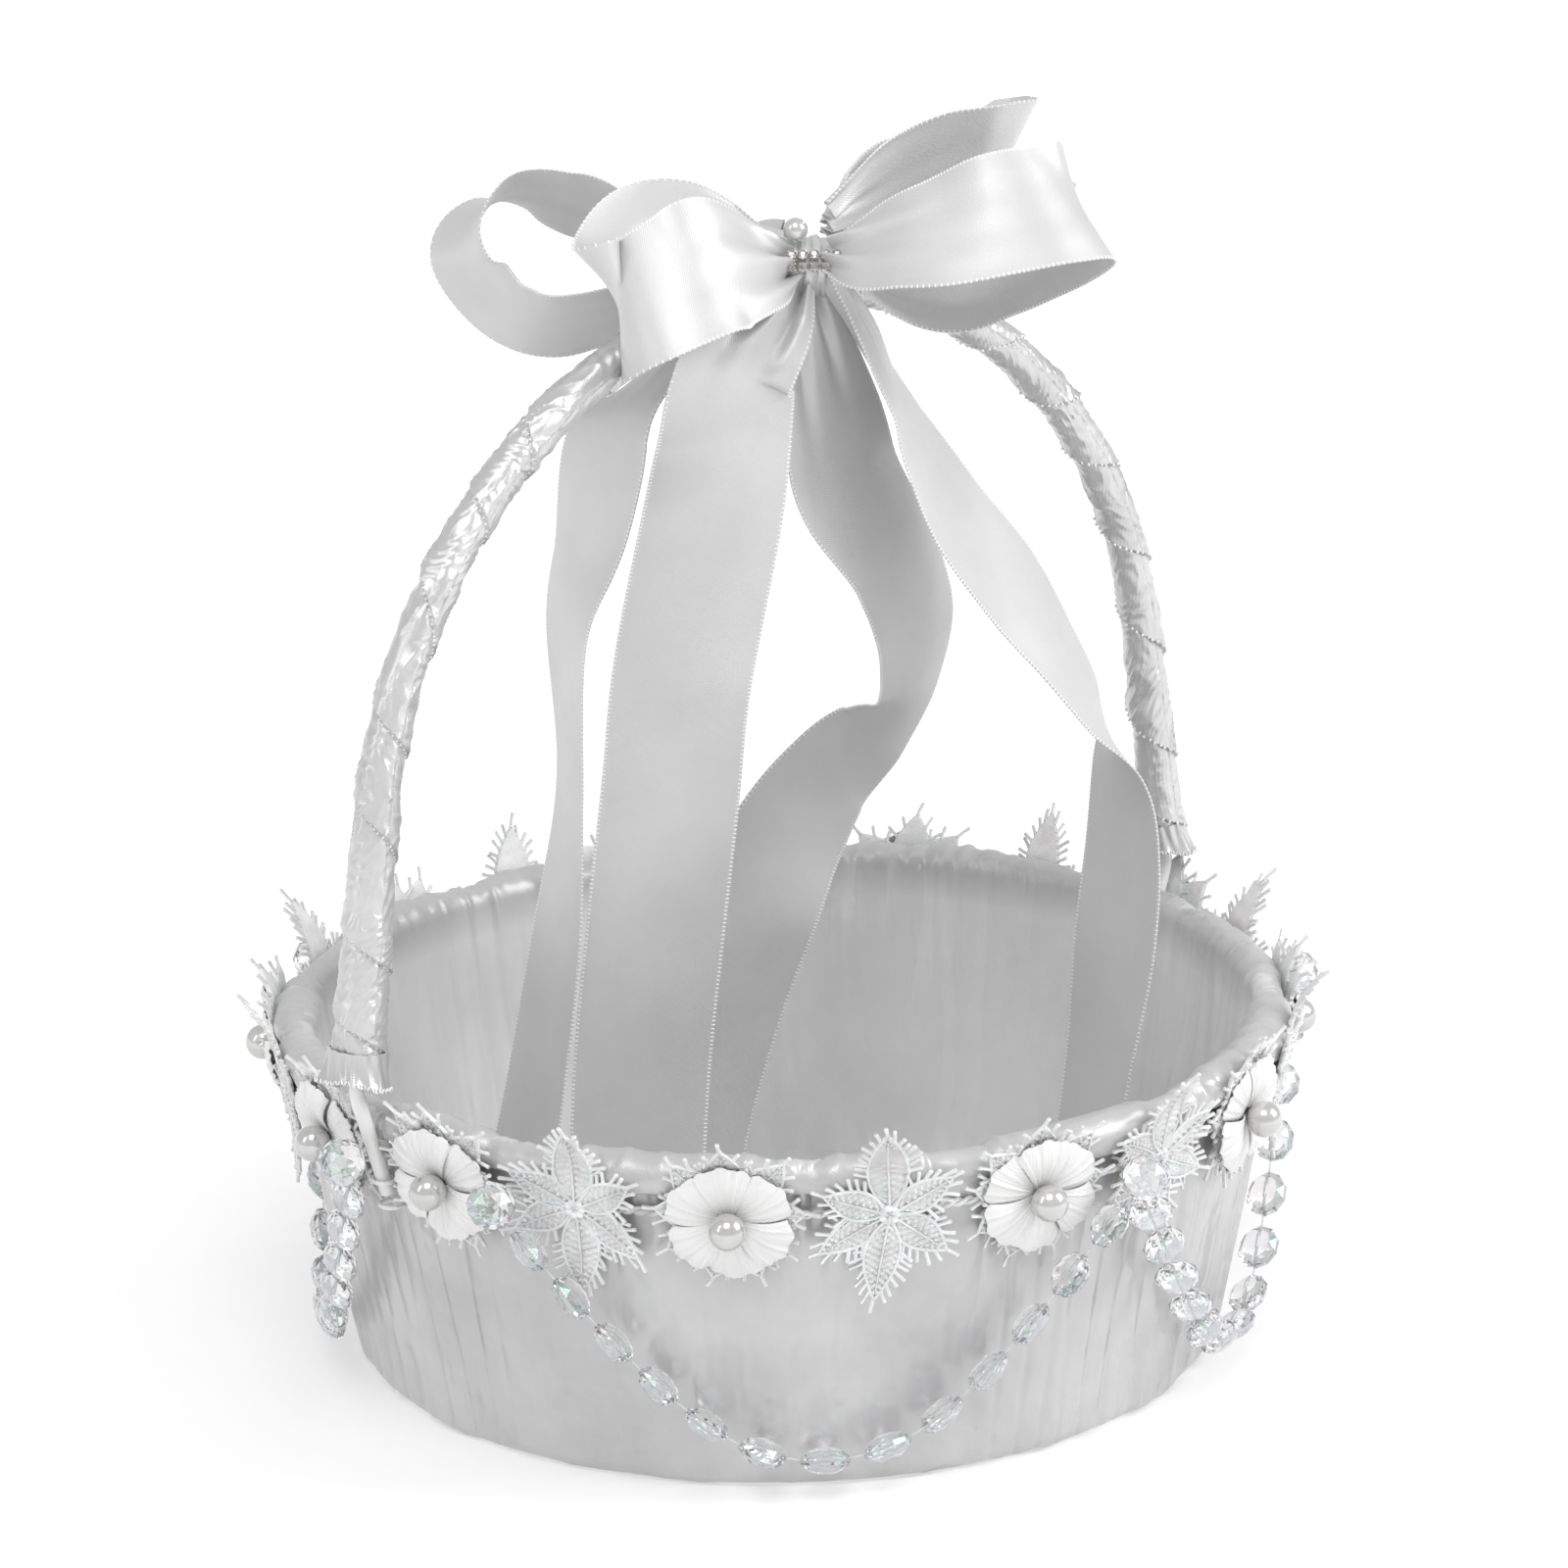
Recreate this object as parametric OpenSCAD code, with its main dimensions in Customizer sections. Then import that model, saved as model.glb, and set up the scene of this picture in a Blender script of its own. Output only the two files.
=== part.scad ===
// Flower girl basket: a round satin basket with an arched handle, a ribbon bow, a lace
// flower trim and five hanging strands of beads. Millimetres, +Z up. The origin is the
// centre of the base's underside, and the handle's arch stands over the X axis.

/* [Basket] */
// Outer radius at the rim
rim_r = 110; // [106:1:114]
// Outer radius at the base
base_r = 95; // [93:1:98]
// Height of the rim's top
rim_h = 76.5; // [75:0.5:78]
// Thickness of the stiff wall board
wall_t = 2.4; // [2:0.2:2.6]
// Thickness of the gathered satin outside
satin_t = 1.2; // [0.8:0.1:1.3]
// Thickness of the gathered satin inside
lining_t = 1; // [0.6:0.1:1.2]
// Radius of the rolled rim
rim_roll_r = 3.6; // [3.4:0.1:3.8]

/* [Handle] */
// Radius of the arch, to the rod's middle
arch_r = 109.5; // [108:0.5:110.5]
// Height of the arch's centre
arch_z = 124; // [123:1:125]
// Radius of the wire rod
rod_r = 1.6; // [1.4:0.1:1.7]
// Radius over the ribbon wound around the rod
wrap_r = 4.7; // [4.4:0.1:4.8]

/* [Bow] */
// Thickness of the ribbon, with its body
ribbon_t = 0.8; // [0.6:0.1:0.9]
// Turn of the bow from the handle's plane
bow_turn = -40; // [-42:1:-38]
// Radius of the knot
knot_r = 7.5; // [7:0.1:7.6]

/* [Lace] */
// Height of the flowers and leaf sprays
lace_z = 66; // [65:0.5:67]
// Radius of a satin flower
flower_r = 13.2; // [12:0.1:13.4]
// Radius of a pearl
pearl_r = 3.9; // [3.6:0.1:4]
// Radius of a rosette
rosette_r = 15.5; // [14:0.1:15.6]

/* [Bead strands] */
// Beads on each strand
beads = 13; // [11:1:13]
// Radius of a bead
bead_r = 5.2; // [4.6:0.1:5.3]
// Thickness of a bead
bead_t = 5.2; // [4.6:0.1:5.4]
// Diameter of the thread
thread_d = 0.5; // [0.4:0.1:0.6]

/* [Hidden] */
$fn = 64;

// Heights of the layers of the base
cover_t = 0.8;
board_t = 2.5;
pad_t = 3;
board_top = cover_t + board_t;
pad_top = board_top + pad_t;

// The wall's outside is one cone. wall_r gives its radius, and lean its lean from upright.
slope = (rim_r - base_r) / rim_h;
lean = atan(slope);
function wall_r(z) = base_r + slope * z;
hoop_r = 1.5;
roll_z = rim_h - rim_roll_r;
roll_r = wall_r(roll_z) - satin_t - wall_t / 2;
wall_top = roll_z - hoop_r - 0.4;

// On each side the arch ends where its tangent splays by leg_splay, and the leg runs on
// straight to leg_end_z. A small bend then turns the rod in by rod_toe, to lie at the wall.
leg_splay = 8;
leg_top = [arch_r * cos(leg_splay), arch_z + arch_r * sin(leg_splay)];
function leg(z) = [leg_top[0] + (leg_top[1] - z) * tan(leg_splay), z];
leg_end_z = 85;
bend_r = 14;
rod_toe = 17;
bend_at = leg(leg_end_z) - bend_r * [cos(leg_splay), sin(leg_splay)];
toe_top = bend_at + bend_r * [cos(rod_toe), -sin(rod_toe)];
function toe(z) = [toe_top[0] - (toe_top[1] - z) * tan(rod_toe), z];
arch_steps = 24;
bend_steps = 3;
rod_sides = 12;
fit_gap = 0.05;
rod_end_z = 50;
tie_heights = [55, 61];
wrap_foot_z = 90;
flare_r = 6.2;
flare_z = 86;
function polar(c, r, a) = c + r * [cos(a), sin(a)];
// Half of the rod's middle line in [x, z], from the top of the arch to its end at the wall
half_wrap = concat(
    [for (i = [0 : arch_steps / 2]) polar([0, arch_z], arch_r,
        90 - (90 - leg_splay) * i / (arch_steps / 2))],
    [leg(wrap_foot_z)]);
half_rod = concat(half_wrap,
    [for (i = [0 : bend_steps]) polar(bend_at, bend_r,
        leg_splay - (leg_splay + rod_toe) * i / bend_steps)],
    [toe(rod_end_z)]);
// The whole line in space, from the -X end over the top to the +X end
function whole(half) = concat(
    [for (i = [len(half) - 1 : -1 : 1]) [-half[i][0], 0, half[i][1]]],
    [for (p = half) [p[0], 0, p[1]]]);

// Positions around the wall, in degrees. The trim starts and ends at the -X foot.
flowers = 11;
motif_step = 34;
first_flower = -170;
first_spray = -153;
first_tie = -160;
swags = 5;
swag_step = 68;
// The flower over the +X foot stands further out, to clear the rod.
foot_flower = 5;
foot_lift = 5.2;

// Distances out from the wall
cord_r = 0.8;
plate_off = 2;
plate_t = 1;
flower_t = 2.6;
pearl_off = plate_off + plate_t + flower_t + 2;
crystal_off = 12.5;
crystal_z = 67.5;
crystal_r = 5.2;

// Half of a strand's route from its end to its middle: [degrees from the middle, height,
// distance out from the wall]. The other half mirrors it.
half_route = [[33.3, 62, 10.5], [31, 56, 9.5], [28, 48, 8.5], [24.5, 39, 7.6], [20.5, 30, 7],
    [15.5, 20.5, 6.5], [10, 13, 6.2], [3.5, 9, 6]];
route = concat([for (p = half_route) [-p[0], p[1], p[2]]],
    [for (i = [len(half_route) - 1 : -1 : 0]) half_route[i]]);

// Ribbons are lists of stations [centre, direction across the ribbon, width] in the
// bow's own frame: X to the bow's right, Y to its back, Z up.
full_w = 30;
loop_left_back = [[[4, 1, 243], [-3, 8, -5], 9], [[-12, 9, 245], [-4, 8, -5], 20],
    [[-28, 9, 246], [-4, 8, -5], full_w], [[-41, 12, 250], [-4, 8, -5], full_w],
    [[-53, 14, 252], [-4, 8, -4], full_w], [[-61, 14, 248], [-4, 8, -4], full_w],
    [[-64, 14, 239], [-5, 8, -4], full_w], [[-58, 14, 229], [-4, 8, -5], full_w],
    [[-49, 12, 225], [-3, 8, -6], full_w], [[-38, 10, 226], [-3, 8, -6], full_w],
    [[-20, 8, 231], [-2, 8, -6], 26], [[3, 5, 240], [1, 8, -5], 8]];
loop_left_front = [[[5, -10, 241], [1, -7, -7], 8], [[0, -17, 243], [2, -7, -7], 20],
    [[-9, -27, 246], [2, -6, -8], full_w], [[-17, -33, 244], [2, -6, -8], full_w],
    [[-26, -35, 240], [2, -6, -8], full_w], [[-31, -31, 237], [2, -6, -8], full_w],
    [[-29, -23, 240], [2, -6, -8], full_w], [[-22, -12, 248], [2, -6, -8], 28],
    [[-9, -8, 248], [2, -6, -7], 20], [[4, -4, 243], [1, -8, -4], 8]];
loop_right_front = [[[13, -10, 244], [0, -8, -6], 9], [[20, -16, 246], [0, -8, -6], 20],
    [[28, -21, 249], [0, -8, -6], 26], [[37, -23, 251], [1, -8, -6], full_w],
    [[48, -23, 254], [2, -7, -7], full_w], [[59, -19, 255], [3, -7, -7], full_w],
    [[66, -10, 253], [3, -7, -6], full_w], [[62, 1, 246], [2, -7, -7], full_w],
    [[50, 7, 239], [2, -7, -7], full_w], [[38, 7, 234], [1, -8, -6], full_w],
    [[26, 3, 236], [0, -7, -7], 20], [[13, -3, 242], [0, -9, -5], 8]];
loop_right_back = [[[13, -3, 249], [1, 6, -8], 8], [[20, 4, 251], [2, 6, -8], 20],
    [[28, 10, 254], [2, 6, -8], 28], [[38, 14, 257], [2, 6, -8], full_w],
    [[47, 18, 257], [2, 6, -8], full_w], [[55, 24, 255], [2, 7, -7], full_w],
    [[54, 31, 250], [2, 7, -7], full_w], [[41, 33, 248], [2, 6, -8], full_w],
    [[26, 26, 249], [2, 6, -8], 28], [[17, 14, 249], [2, 6, -8], 18],
    [[13, 4, 246], [2, 8, -5], 6]];
tail_1 = [[[5, 4, 245], [3, -8, 4], 6], [[-3, 13, 241], [3, -8, 5], 9],
    [[-12, 17, 229], [4, -8, 4], 16], [[-22, 13, 215], [5, -8, 4], 28], [[-34, 6, 203], [6, -7, 3], full_w],
    [[-40, 6, 178], [5, -8, 2], full_w], [[-45, 6, 158], [3, -9, 1], full_w],
    [[-45, 4, 124], [2, -9, 0], full_w], [[-48, 1, 95], [3, -9, 0], full_w],
    [[-54, -2, 60], [4, -9, 0], full_w], [[-60, -5, 28], [5, -8, 0], full_w]];
tail_2 = [[[6, -10, 237], [9, 2, 0], 8], [[1, -19, 231], [9, 4, 0], 18],
    [[-7, -26, 222], [9, 4, 0], 28], [[-10, -23, 206], [9, 3, 0], full_w],
    [[-13, -19, 188], [10, 1, 0], full_w], [[-20, -14, 153], [10, -1, 0], full_w],
    [[-23, -12, 128], [10, -1, 0], full_w], [[-27, -12, 97], [10, 0, 0], full_w],
    [[-31, -13, 63], [10, 1, 0], full_w], [[-33, -14, 32], [10, 2, 0], full_w]];
tail_3 = [[[7, -8, 240], [8, 3, 0], 6], [[10, -6, 224], [6, 5, 0], 18],
    [[13, -2, 206], [7, 7, 0], 28], [[17, 4, 190], [7, 7, 0], full_w],
    [[26, 12, 172], [6, 8, 0], full_w], [[31, 20, 153], [5, 8, -1], full_w],
    [[29, 25, 138], [4, 9, -2], full_w], [[21, 25, 128], [5, 7, -4], full_w],
    [[11, 20, 120], [6, 6, -5], full_w], [[2, 15, 108], [7, 4, -5], full_w],
    [[-5, 11, 93], [8, 3, -4], full_w], [[-11, 8, 74], [8, 5, -2], full_w],
    [[-17, 5, 52], [8, 6, -1], full_w], [[-22, 3, 30], [8, 6, -1], full_w]];
tail_4 = [[[12, -8, 240], [3, 9, -3], 6], [[20, -3, 225], [3, 9, -3], 18],
    [[26, 0, 211], [2, 9, -3], 28], [[31, 2, 199], [3, 9, -2], full_w],
    [[40, 6, 182], [4, 9, 0], full_w], [[52, 10, 165], [4, 9, 1], full_w],
    [[62, 12, 150], [3, 9, 0], full_w], [[70, 14, 136], [2, 10, -1], full_w],
    [[75, 14, 122], [-3, 9, 0], full_w], [[76, 13, 105], [-5, 9, 0], full_w],
    [[74, 11, 83], [-5, 8, 0], full_w], [[70, 9, 56], [-4, 9, 0], full_w],
    [[66, 7, 28], [-4, 9, 0], full_w]];
ribbon_steps = 3;

// The knot's middle in the bow's frame, and its half length
knot_at = [8, -4, 239.5];
knot_half = 7;
stone_r = 1.1;
bow_pearl_r = 2.6;

function unit(v) = v / norm(v);
function along(a, i) = a[max(0, min(len(a) - 1, i))];
function spline(a, b, c, d, t) =
    0.5 * (2 * b + (c - a) * t + (2 * a - 5 * b + 4 * c - d) * t * t
    + (3 * b - a - 3 * c + d) * t * t * t);
function smooth(list, steps) = [for (i = [0 : len(list) - 2], k = [0 : steps - 1])
    spline(along(list, i - 1), list[i], list[i + 1], along(list, i + 2), k / steps),
    list[len(list) - 1]];
// Triangles between n rings of m points each, and those with both ends closed
function side_faces(n, m) = [for (i = [0 : n - 2], k = [0 : m - 1]) let (j = (k + 1) % m)
    each [[i * m + k, i * m + j, (i + 1) * m + j], [i * m + k, (i + 1) * m + j, (i + 1) * m + k]]];
function sweep_faces(n, m) = concat(side_faces(n, m),
    [for (k = [1 : m - 2]) [0, k + 1, k]],
    [for (k = [1 : m - 2]) [(n - 1) * m, (n - 1) * m + k, (n - 1) * m + k + 1]]);

module ribbon(stations) {
    centres = smooth([for (s = stations) s[0]], ribbon_steps);
    across = smooth([for (s = stations) unit(s[1])], ribbon_steps);
    widths = smooth([for (s = stations) s[2]], ribbon_steps);
    n = len(centres);
    points = [for (i = [0 : n - 1])
        let (t = unit(along(centres, i + 1) - along(centres, i - 1)),
            w = unit(across[i] - (across[i] * t) * t) * widths[i] / 2,
            h = unit(cross(t, w)) * ribbon_t / 2)
        each [centres[i] - w - h, centres[i] + w - h, centres[i] + w + h,
            centres[i] - w + h]];
    rotate([0, 0, bow_turn]) polyhedron(points, sweep_faces(n, 4));
}

// A tube along points in space, with 8 sides
module tube(points, r) {
    n = len(points);
    rings = [for (i = [0 : n - 1])
        let (t = unit(along(points, i + 1) - along(points, i - 1)),
            u = unit([points[i][0], points[i][1], 0] - ([points[i][0], points[i][1], 0] * t) * t),
            v = cross(t, u))
        for (k = [0 : 7]) points[i] + r * (cos(45 * k) * u + sin(45 * k) * v)];
    polyhedron(rings, sweep_faces(n, 8));
}

// Children lie on the wall at an angle and height: X around, Y up the wall, Z outwards
module on_wall(phi, z, off) {
    rotate([0, 0, phi]) translate([wall_r(z), 0, z]) rotate([0, lean, 0])
        rotate([90, 0, 90]) translate([0, 0, off]) children();
}

// The band of the wall between two depths below its outside
module cone_band(outer, inner, low, high) {
    rotate_extrude() difference() {
        polygon([[wall_r(low) - inner, low], [wall_r(low) - outer, low],
            [wall_r(high) - outer, high], [wall_r(high) - inner, high]]);
        translate([roll_r, roll_z]) circle(rim_roll_r + fit_gap);
    }
}

module wall_profile() {
    polygon([
        [wall_r(cover_t) - satin_t - wall_t, cover_t], [wall_r(cover_t) - satin_t, cover_t],
        [wall_r(wall_top) - satin_t, wall_top], [wall_r(wall_top) - satin_t - wall_t, wall_top]]);
}
module basket_wall() {
    color("tan") rotate_extrude() wall_profile();
}
module base_board() {
    low_r = wall_r(cover_t) - satin_t - wall_t;
    color("tan") translate([0, 0, cover_t])
        cylinder(h = board_t, r1 = low_r, r2 = low_r + slope * board_t);
}
module bottom_cover() {
    color("white") cylinder(h = cover_t, r1 = base_r - satin_t, r2 = wall_r(cover_t) - satin_t);
}
module outer_satin() {
    color("whitesmoke") cone_band(0, satin_t - fit_gap, 0, roll_z);
}
module lining_satin() {
    depth = satin_t + wall_t;
    color("gainsboro") cone_band(depth + fit_gap, depth + lining_t, board_top + fit_gap, roll_z);
}
module lining_floor() {
    low_r = wall_r(board_top) - satin_t - wall_t - lining_t;
    color("gainsboro") translate([0, 0, board_top])
        cylinder(h = pad_t, r1 = low_r, r2 = low_r + slope * pad_t);
}
module rim_wire() {
    color("silver") rotate_extrude() translate([roll_r, roll_z]) circle(hoop_r);
}
module rim_binding() {
    color("white") rotate_extrude() difference() {
        translate([roll_r, roll_z]) circle(rim_roll_r);
        translate([roll_r, roll_z]) circle(hoop_r);
        offset(delta = fit_gap) wall_profile();
    }
}

module arch(r) {
    rotate([90, 0, 0]) rotate([0, 0, leg_splay])
        rotate_extrude(angle = 180 - 2 * leg_splay) translate([arch_r, 0]) circle(r);
}
module both_sides() {
    for (side = [0, 1]) mirror([side, 0, 0]) children();
}
// Rings of points around a line in the XZ plane
function rings(line, r) = [for (i = [0 : len(line) - 1])
    let (t = unit(along(line, i + 1) - along(line, i - 1)), u = cross([0, 1, 0], t))
    for (k = [0 : rod_sides - 1])
        line[i] + r * (cos(360 * k / rod_sides) * u + sin(360 * k / rod_sides) * [0, -1, 0])];
module handle_core() {
    line = whole(half_rod);
    color("white") polyhedron(rings(line, rod_r), sweep_faces(len(line), rod_sides));
}
// The wound ribbon is a tube around the rod, with a skin inside and a skin outside
module handle_wrap() {
    line = whole(half_wrap);
    n = len(line);
    m = rod_sides;
    inner = n * m;
    last = (n - 1) * m;
    color("white") polyhedron(concat(rings(line, wrap_r), rings(line, rod_r + fit_gap)), concat(
        side_faces(n, m),
        [for (f = side_faces(n, m)) [f[2] + inner, f[1] + inner, f[0] + inner]],
        [for (k = [0 : m - 1]) let (j = (k + 1) % m) each [[k, inner + j, j],
            [k, inner + k, inner + j]]],
        [for (k = [0 : m - 1]) let (j = (k + 1) % m) each [[last + k, last + j, last + inner + j],
            [last + k, last + inner + j, last + inner + k]]]));
}
// A straight or tapered sleeve around the rod, in the XZ plane from a to b
module sleeve(a, b, r1, r2) {
    d = b - a;
    translate([a[0], 0, a[1]]) rotate([0, atan2(d[0], d[1]), 0]) rotate_extrude()
        polygon([[rod_r + fit_gap, 0], [r1, 0], [r2, norm(d)], [rod_r + fit_gap, norm(d)]]);
}
module wrap_end() {
    color("white") sleeve(leg(wrap_foot_z), leg(flare_z), wrap_r, flare_r);
}
module handle_ties() {
    color("white") both_sides() for (z = tie_heights) difference() {
        translate([toe(z)[0], 0, z]) rotate_extrude() translate([2.5, 0]) circle(0.45);
        cylinder(h = rim_h, r1 = base_r, r2 = rim_r);
    }
}

module bow_knot() {
    color("white") difference() {
        rotate([0, 0, bow_turn]) translate(knot_at) rotate([0, 90, 0]) rotate_extrude()
            polygon([[0, -knot_half], [knot_r - 1.5, -knot_half], [knot_r, 0],
                [knot_r - 1.5, knot_half], [0, knot_half]]);
        translate([0, 0, arch_z]) arch(wrap_r);
    }
}
// Places children on the knot's skin: steps along it, degrees up from its front
module on_knot(x, up, out) {
    rotate([0, 0, bow_turn]) translate([knot_at[0] + x, knot_at[1], knot_at[2]])
        rotate([90 - up, 0, 0]) translate([0, 0, knot_r + out]) children();
}
module bow_pearl() {
    color("seashell") on_knot(-2, 62, bow_pearl_r) sphere(bow_pearl_r);
}
module rhinestone_row() {
    color("silver") for (row = [0, 1], i = [0 : 4])
        on_knot(-3 + 2.4 * i, 12 + 18 * row, 0) cylinder(h = 1.6, r1 = stone_r, r2 = 0.5);
}

module leaf(length, width) {
    big_r = (length * length + width * width) / (4 * width);
    translate([length / 2, 0]) intersection() {
        translate([0, big_r - width / 2]) circle(big_r);
        translate([0, width / 2 - big_r]) circle(big_r);
    }
}
// Leaves of a spray: [direction, length, width]
spray_leaves = [[90, 24, 8], [28, 15, 7], [150, 16, 7], [205, 16, 7], [268, 20, 8], [325, 17, 7]];
module leaf_spray(i) {
    color("white") on_wall(first_spray + motif_step * (i - 1), lace_z, plate_off)
        linear_extrude(plate_t) {
            for (s = spray_leaves) rotate(s[0]) leaf(s[1], s[2]);
            circle(3);
        }
}
function flower_off(i) = plate_off + (i == foot_flower ? foot_lift : 0);
module satin_flower(i) {
    color("white") on_wall(first_flower + motif_step * i, lace_z, flower_off(i) + plate_t + fit_gap)
        difference() {
            linear_extrude(flower_t) {
                for (k = [0 : 5]) rotate(60 * k + 30) translate([flower_r - 5.8, 0]) circle(5.8);
                circle(5);
            }
            translate([0, 0, pearl_off - plate_off - plate_t]) sphere(pearl_r + fit_gap);
        }
}
module lace_rosettes() {
    color("white") for (i = [0 : flowers - 1])
        on_wall(first_flower + motif_step * i, lace_z, flower_off(i)) linear_extrude(plate_t) {
            for (k = [0 : 9]) rotate(36 * k) translate([rosette_r - 4, 0]) circle(4);
            circle(10);
        }
}
module flower_pearls() {
    color("seashell") for (i = [0 : flowers - 1])
        on_wall(first_flower + motif_step * i, lace_z, flower_off(i) - plate_off + pearl_off)
            sphere(pearl_r);
}
module lace_cord() {
    color("white") rotate_extrude() translate([wall_r(lace_z) + cord_r + 0.1, lace_z])
        circle(cord_r);
}

function place(p) = let (r = wall_r(p[1]) + p[2]) [r * cos(p[0]), r * sin(p[0]), p[1]];
route_points = [for (p = route) place(p)];
function run_to(i) = i == 0 ? 0 : run_to(i - 1) + norm(route_points[i] - route_points[i - 1]);
runs = [for (i = [0 : len(route) - 1]) run_to(i)];
thread_len = runs[len(runs) - 1];
// A value of the route at a distance along it
function at_run(s, item) = lookup(s, [for (i = [0 : len(route) - 1]) [runs[i], route[i][item]]]);
function swag_turn(k) = first_tie + swag_step * (k - 0.5);
module swag_thread(k) {
    color("lightcyan") rotate([0, 0, swag_turn(k)]) tube(route_points, thread_d / 2);
}
module swag_beads(k) {
    end_gap = 7;
    pitch = (thread_len - 2 * end_gap) / (beads - 1);
    color("lightcyan") for (i = [0 : beads - 1])
        let (s = end_gap + pitch * i)
        rotate([0, 0, swag_turn(k) + at_run(s, 0)])
        translate([wall_r(at_run(s, 1)) + at_run(s, 2), 0, at_run(s, 1)])
        rotate([0, 90 + lean, 0]) rotate_extrude()
            polygon([[0, -bead_t / 2], [bead_r * 0.6, -bead_t / 2], [bead_r, 0],
                [bead_r * 0.6, bead_t / 2], [0, bead_t / 2]]);
}
module swag_crystals() {
    color("lightcyan") for (k = [0 : swags]) rotate([0, 0, first_tie + swag_step * k]) {
        translate([wall_r(crystal_z) + crystal_off, 0, crystal_z]) rotate_extrude()
            polygon([[0, -crystal_r * 0.9], [crystal_r * 0.6, -crystal_r * 0.8], [crystal_r, 0],
                [crystal_r * 0.6, crystal_r * 0.8], [0, crystal_r * 0.9]]);
        // The stitch that holds the crystal. At the last tie it starts at the rod.
        start = k == swags ? 6 : 2 * cord_r + 0.3;
        translate([wall_r(crystal_z) + start, 0, crystal_z + 1.2]) rotate([0, 90, 0])
            cylinder(h = crystal_off - crystal_r - start + 1.5, r = 0.4);
    }
}

basket_wall();
base_board();
bottom_cover();
outer_satin();
lining_satin();
lining_floor();
rim_wire();
rim_binding();
handle_core();
handle_wrap();
mirror([1, 0, 0]) wrap_end();  // wrap_end_left
wrap_end();  // wrap_end_right
handle_ties();
color("white") ribbon(loop_left_back);  // bow_loop_left_back
color("white") ribbon(loop_left_front);  // bow_loop_left_front
color("white") ribbon(loop_right_front);  // bow_loop_right_front
color("white") ribbon(loop_right_back);  // bow_loop_right_back
color("whitesmoke") ribbon(tail_1);  // bow_tail_1
color("whitesmoke") ribbon(tail_2);  // bow_tail_2
color("whitesmoke") ribbon(tail_3);  // bow_tail_3
color("whitesmoke") ribbon(tail_4);  // bow_tail_4
bow_knot();
bow_pearl();
rhinestone_row();
for (i = [1 : flowers - 1])
    leaf_spray(i);
for (i = [1 : flowers])
    satin_flower(i - 1);
lace_rosettes();
flower_pearls();
lace_cord();
for (k = [1 : swags])
    swag_thread(k);
for (k = [1 : swags])
    swag_beads(k);
swag_crystals();
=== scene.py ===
import math

import bmesh
import bpy
import numpy as np
from mathutils import Matrix, Vector


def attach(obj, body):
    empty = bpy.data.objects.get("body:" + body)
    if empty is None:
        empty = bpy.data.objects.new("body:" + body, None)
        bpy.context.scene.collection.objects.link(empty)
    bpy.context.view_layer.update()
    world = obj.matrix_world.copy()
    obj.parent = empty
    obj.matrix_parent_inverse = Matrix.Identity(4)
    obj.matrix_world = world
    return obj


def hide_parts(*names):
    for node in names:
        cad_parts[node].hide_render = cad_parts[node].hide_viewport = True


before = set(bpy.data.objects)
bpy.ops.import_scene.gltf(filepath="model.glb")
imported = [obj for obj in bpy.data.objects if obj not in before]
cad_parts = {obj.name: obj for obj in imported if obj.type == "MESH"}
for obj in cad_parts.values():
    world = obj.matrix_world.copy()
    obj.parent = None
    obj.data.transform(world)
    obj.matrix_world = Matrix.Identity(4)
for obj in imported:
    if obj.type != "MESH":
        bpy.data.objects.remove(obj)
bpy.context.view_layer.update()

MM = 0.001
scene = bpy.context.scene

# ---------------------------------------------------------------- camera
TARGET = Vector((0, 0, 0.0768))
AZIMUTH, ELEVATION, DISTANCE, ROLL = math.radians(-40), math.radians(18.95), 1.4, math.radians(-1.12)
away = Vector((math.sin(AZIMUTH) * math.cos(ELEVATION), -math.cos(AZIMUTH) * math.cos(ELEVATION),
               math.sin(ELEVATION)))
camera = bpy.data.objects.new("camera", bpy.data.cameras.new("camera"))
camera.data.sensor_width = 36
camera.data.lens = 146.3
camera.data.shift_x = 0.0014
camera.data.shift_y = 0.132
camera.data.dof.use_dof = False
camera.data.clip_end = 50
camera.matrix_world = (Matrix.Translation(TARGET + away * DISTANCE)
                       @ away.to_track_quat("Z", "Y").to_matrix().to_4x4()
                       @ Matrix.Rotation(ROLL, 4, "Z"))
scene.collection.objects.link(camera)
scene.camera = camera

# ---------------------------------------------------------------- sizes, in millimetres
SLOPE = 15 / 76.5
LEAN = math.atan(SLOPE)
ROLL_R, ROLL_Z = 106.895, 72.9
TAU = 2 * math.pi
FLOOR_Z, FLOOR_R = 6.3, 90.6
TIE_Z, TIE_OUT = 67.5, 12.5
PEARL_R, KNOT_PEARL_R = 3.9, 2.6
ROD_R, CLOTH = 1.6, 0.34
ARCH_R, ARCH_Z, SPLAY, TOE = 109.5, 124.0, math.radians(8), math.radians(17)
BEND_Z, BEND_R = 85.0, 14.0
WRAP_R, WRAP_END_Z, WRAP_TURN = 4.1, 88.5, 23.0
LINING_OFF, LINING_FOOT, LINING_RISE, ROLL_SKIN_R, ROLL_BODY_R = 4.4, 5.4, 67.6, 3.7, 3.2
BOW_TURN = math.radians(-40)
KNOT = np.array([8.0, -4.0, 239.5])
LACE_Z = 66.0
HALF_ROUTE = [[33.3, 62, 10.5], [31, 56, 9.5], [28, 48, 8.5], [24.5, 39, 7.6], [20.5, 30, 7],
              [15.5, 20.5, 6.5], [10, 13, 6.2], [3.5, 9, 6]]
ROUTE = [[-a, z, d] for a, z, d in HALF_ROUTE] + HALF_ROUTE[::-1]
BEADS, END_GAP = 13, 7.0
SWAG_TURNS = [-126, -58, 10, 78, 146]
TIES = [-160, -92, -24, 44, 112, 180]
FLOWERS = [-170 + 34 * i for i in range(11)]
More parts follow.
